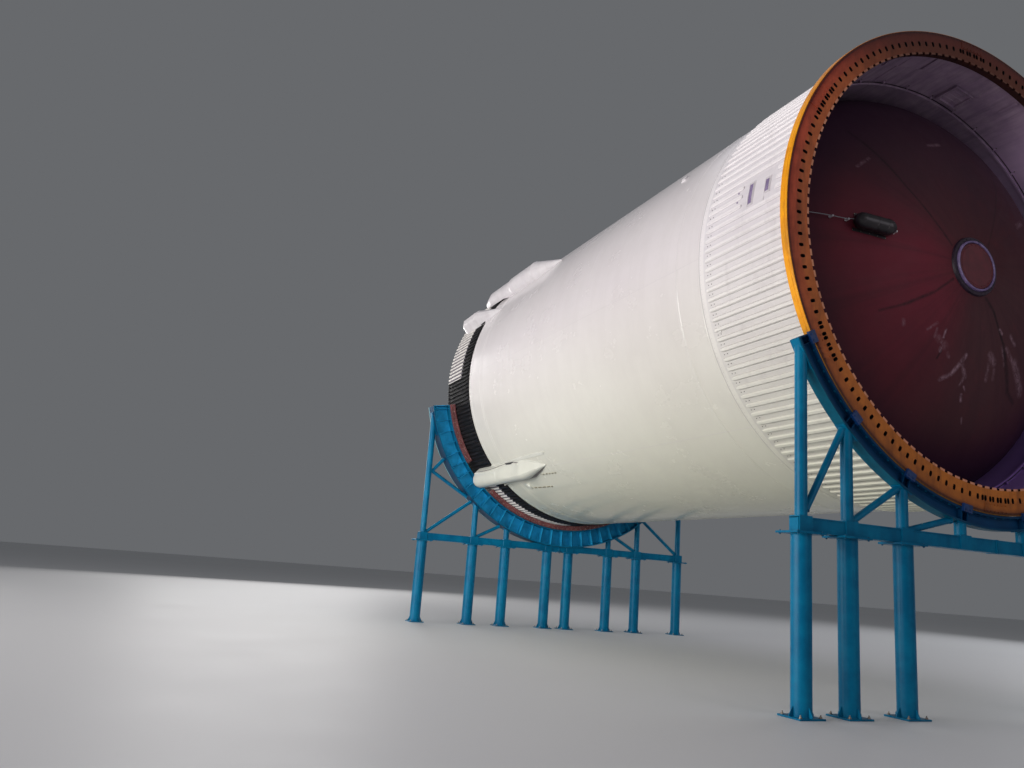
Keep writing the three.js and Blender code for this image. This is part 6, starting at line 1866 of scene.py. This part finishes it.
def actuators(i, yc, zc, ys, zs):
    p = Part(f"engine_{i}_cylinders")
    O = lambda e, y=0.0, z=0.0: np.array([XR - GB - e, yc + y, AZ + zc + z])
    e0 = -0.1497
    at = [(0.0, zs * 0.6), (ys * 0.6, 0.0)]
    for y, z in at:
        # barrel with caps and tie rods; the rod end is open
        n, R0 = 32, 0.0525
        prof = [(e0, 0.062), (e0, 0.0985), (e0 + 0.03, 0.0985), (e0 + 0.034, 0.084), (0.285, 0.084), (0.29, 0.0985), (0.34, 0.0985), (0.3495, 0.092), (0.3495, R0), (e0 + 0.05, R0), (e0 + 0.05, 0.01), (e0, 0.01)]
        A = np.arange(n) * 360 / n
        pts = P(GB + np.array([q[0] for q in prof])[None, :], A[:, None], np.array([q[1] for q in prof])[None, :], yc + y, zc + z)
        p.grid(pts, M_STEEL, wu=True, wv=True)
        for k in range(4):
            a = rad(45 + 90 * k)
            tube(p, O(e0 + 0.03, y + 0.088 * math.cos(a), z + 0.088 * math.sin(a)), O(0.29, y + 0.088 * math.cos(a), z + 0.088 * math.sin(a)), 0.008, M_BOLT, 10)
            studs(p, [O(0.3400, y + 0.084 * math.cos(a), z + 0.084 * math.sin(a))], (-1, 0, 0), 0.009, 0.009, M_BOLT)
        # servo valve block and its hose
        u = np.array([0.0, y, z]) / 0.6
        v = np.cross(u, [1.0, 0, 0])
        bevel_box(p, (0.02, -0.035, 0.080), (0.14, 0.035, 0.099), M_IRON, 0.005, axes=[np.array([-1.0, 0, 0]), v, u], origin=O(0, y, z))
    a, b = O(e0 + 0.06, *at[0]), O(e0 + 0.06, *at[1])
    d = (b - a) / np.linalg.norm(b - a)
    tube(p, a + d * 0.08, b - d * 0.08, 0.034, M_STEEL, 20)
    for q, sg in ((a, 1), (b, -1)):
        lathe(p, q + d * sg * 0.083, d * sg, [(0.0, 0.046), (0.03, 0.046), (0.036, 0.036), (0.04, 0.033)], M_STEEL, 20)
    p.make(slot="gimbal_steel", replaces=[f"engine_{i}_actuators"])
    for k, (y, z) in enumerate(at):
        nm = "yaw" if k else "pitch"
        r = Part(f"engine_{i}_{nm}_piston")
        lathe(r, O(0, y, z), (-1, 0, 0), [(0.151, 0.02), (0.151, 0.0415), (0.155, 0.0418), (0.50, 0.0418), (0.553, 0.0418), (0.556, 0.036), (0.562, 0.036), (0.566, 0.05), (0.586, 0.0575), (0.61, 0.0585), (0.636, 0.054), (0.650, 0.036), (0.6545, 0.028), (0.6548, 0.004)], M_CHROME, 36)
        r.make(body=f"engine_{i}_{nm}_rod", slot="rod_chrome", replaces=[f"engine_{i}_rod_{nm}"])


# ------------------------------------------------------------------ build
forward_ring()
forward_skirt()
aft_skirt()
tank()
forward_dome()
dome_vent()
access_frame()
for kind_ in FAIRINGS:
    for sg_, side_ in ((-1, "near"), (1, "far")):
        fairing(kind_, sg_, side_)
girder("front")
girder("aft")
pads()
for e_ in ("front", "aft"):
    for sd, nm in ((-1, "near"), (1, "far")):
        half_frame(e_, sd, nm)
heat_shield(*thrust_structure())
bell("centre_engine_nozzle", 0.0, 0.0, "stage", ["centre_engine_bell"])
powerhead("centre_engine_powerhead", 0.0, 0.0, 1, 1, False, "stage", ["centre_engine_body"])
for i, ys, zs in (("1", 1, 1), ("2", 1, -1), ("3", -1, -1), ("4", -1, 1)):
    yc, zc = ys * 1.886, zs * 1.886
    bell(f"engine_{i}_nozzle", yc, zc, f"engine_{i}", [f"engine_{i}_bell"])
    powerhead(f"engine_{i}_powerhead", yc, zc, ys, zs, True, f"engine_{i}", [f"engine_{i}_body"])
    gimbal_cross(i, yc, zc, f"engine_{i}_gimbal_cross")
    actuators(i, yc, zc, ys, zs)

# the mount frame's own solid is shown as it is, in primer
for nm in ("engine_mount_frame",):
    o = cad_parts[nm]
    o.data.materials.clear()
    o.data.materials.append(M_GREEN)

# ------------------------------------------------------------------ floor and light
fm = Mat("studio_floor")
cl = fm.noise(0.05, 3)
fcol = fm.mix(cl, lin(206, 206, 208), lin(216, 216, 216))
fm.finish(fcol, fm.math("MULTIPLY_ADD", fm.noise(0.4, 4), 0.1, 0.5), 0.0, fm.bump(fm.noise(8, 4), 0.1, 0.002))
bpy.ops.mesh.primitive_circle_add(vertices=96, radius=260, fill_type="NGON", location=(0, 0, -0.001))
floor = bpy.context.object
floor.name = "floor"
floor.data.materials.append(fm.m)

world = bpy.data.worlds.new("studio")
bpy.context.scene.world = world
world.use_nodes = True
bg = world.node_tree.nodes.get("Background") or world.node_tree.nodes.new("ShaderNodeBackground")
bg.inputs[0].default_value = (0.80, 0.83, 0.88, 1)
bg.inputs[1].default_value = 0.17
bpy.context.scene.view_settings.view_transform = "Standard"      # plain studio look, so the paints keep their strength


def area(name, loc, target, size, energy, color=(1, 1, 1)):
    d = bpy.data.lights.new(name, "AREA")
    d.shape = "RECTANGLE"
    d.size, d.size_y = size
    d.energy = energy
    d.color = color
    o = bpy.data.objects.new(name, d)
    o.location = loc
    o.rotation_euler = (Vector(target) - Vector(loc)).to_track_quat("-Z", "Y").to_euler()
    bpy.context.scene.collection.objects.link(o)
    return d


area("key_left", (8, -44, 8.5), (0, 0, 8), (30, 11), 10200, (1.0, 0.96, 0.965))
area("low_left", (0, -34, 2.5), (0, 0, 7), (34, 4), 2700, (1.0, 0.995, 0.93))
area("top", (-4, 0, 34), (-2, 0, 8), (30, 20), 1000, (0.92, 0.90, 1.0))
area("front_fill", (42, 6, 16), (10, 0, 8), (18, 18), 1600, (0.98, 0.92, 1.0))
area("far_fill", (-2, 42, 18), (0, 0, 8), (30, 16), 4600, (0.95, 0.97, 1.0))
area("aft_low", (14, -13, 4.5), (-6.8, -4.4, 5), (5, 3), 100, (0.9, 0.98, 1.0)).spread = math.radians(44)
area("aft_fill", (-42, -6, 14), (-10, 0, 9), (18, 14), 4000, (1.0, 0.98, 0.96))

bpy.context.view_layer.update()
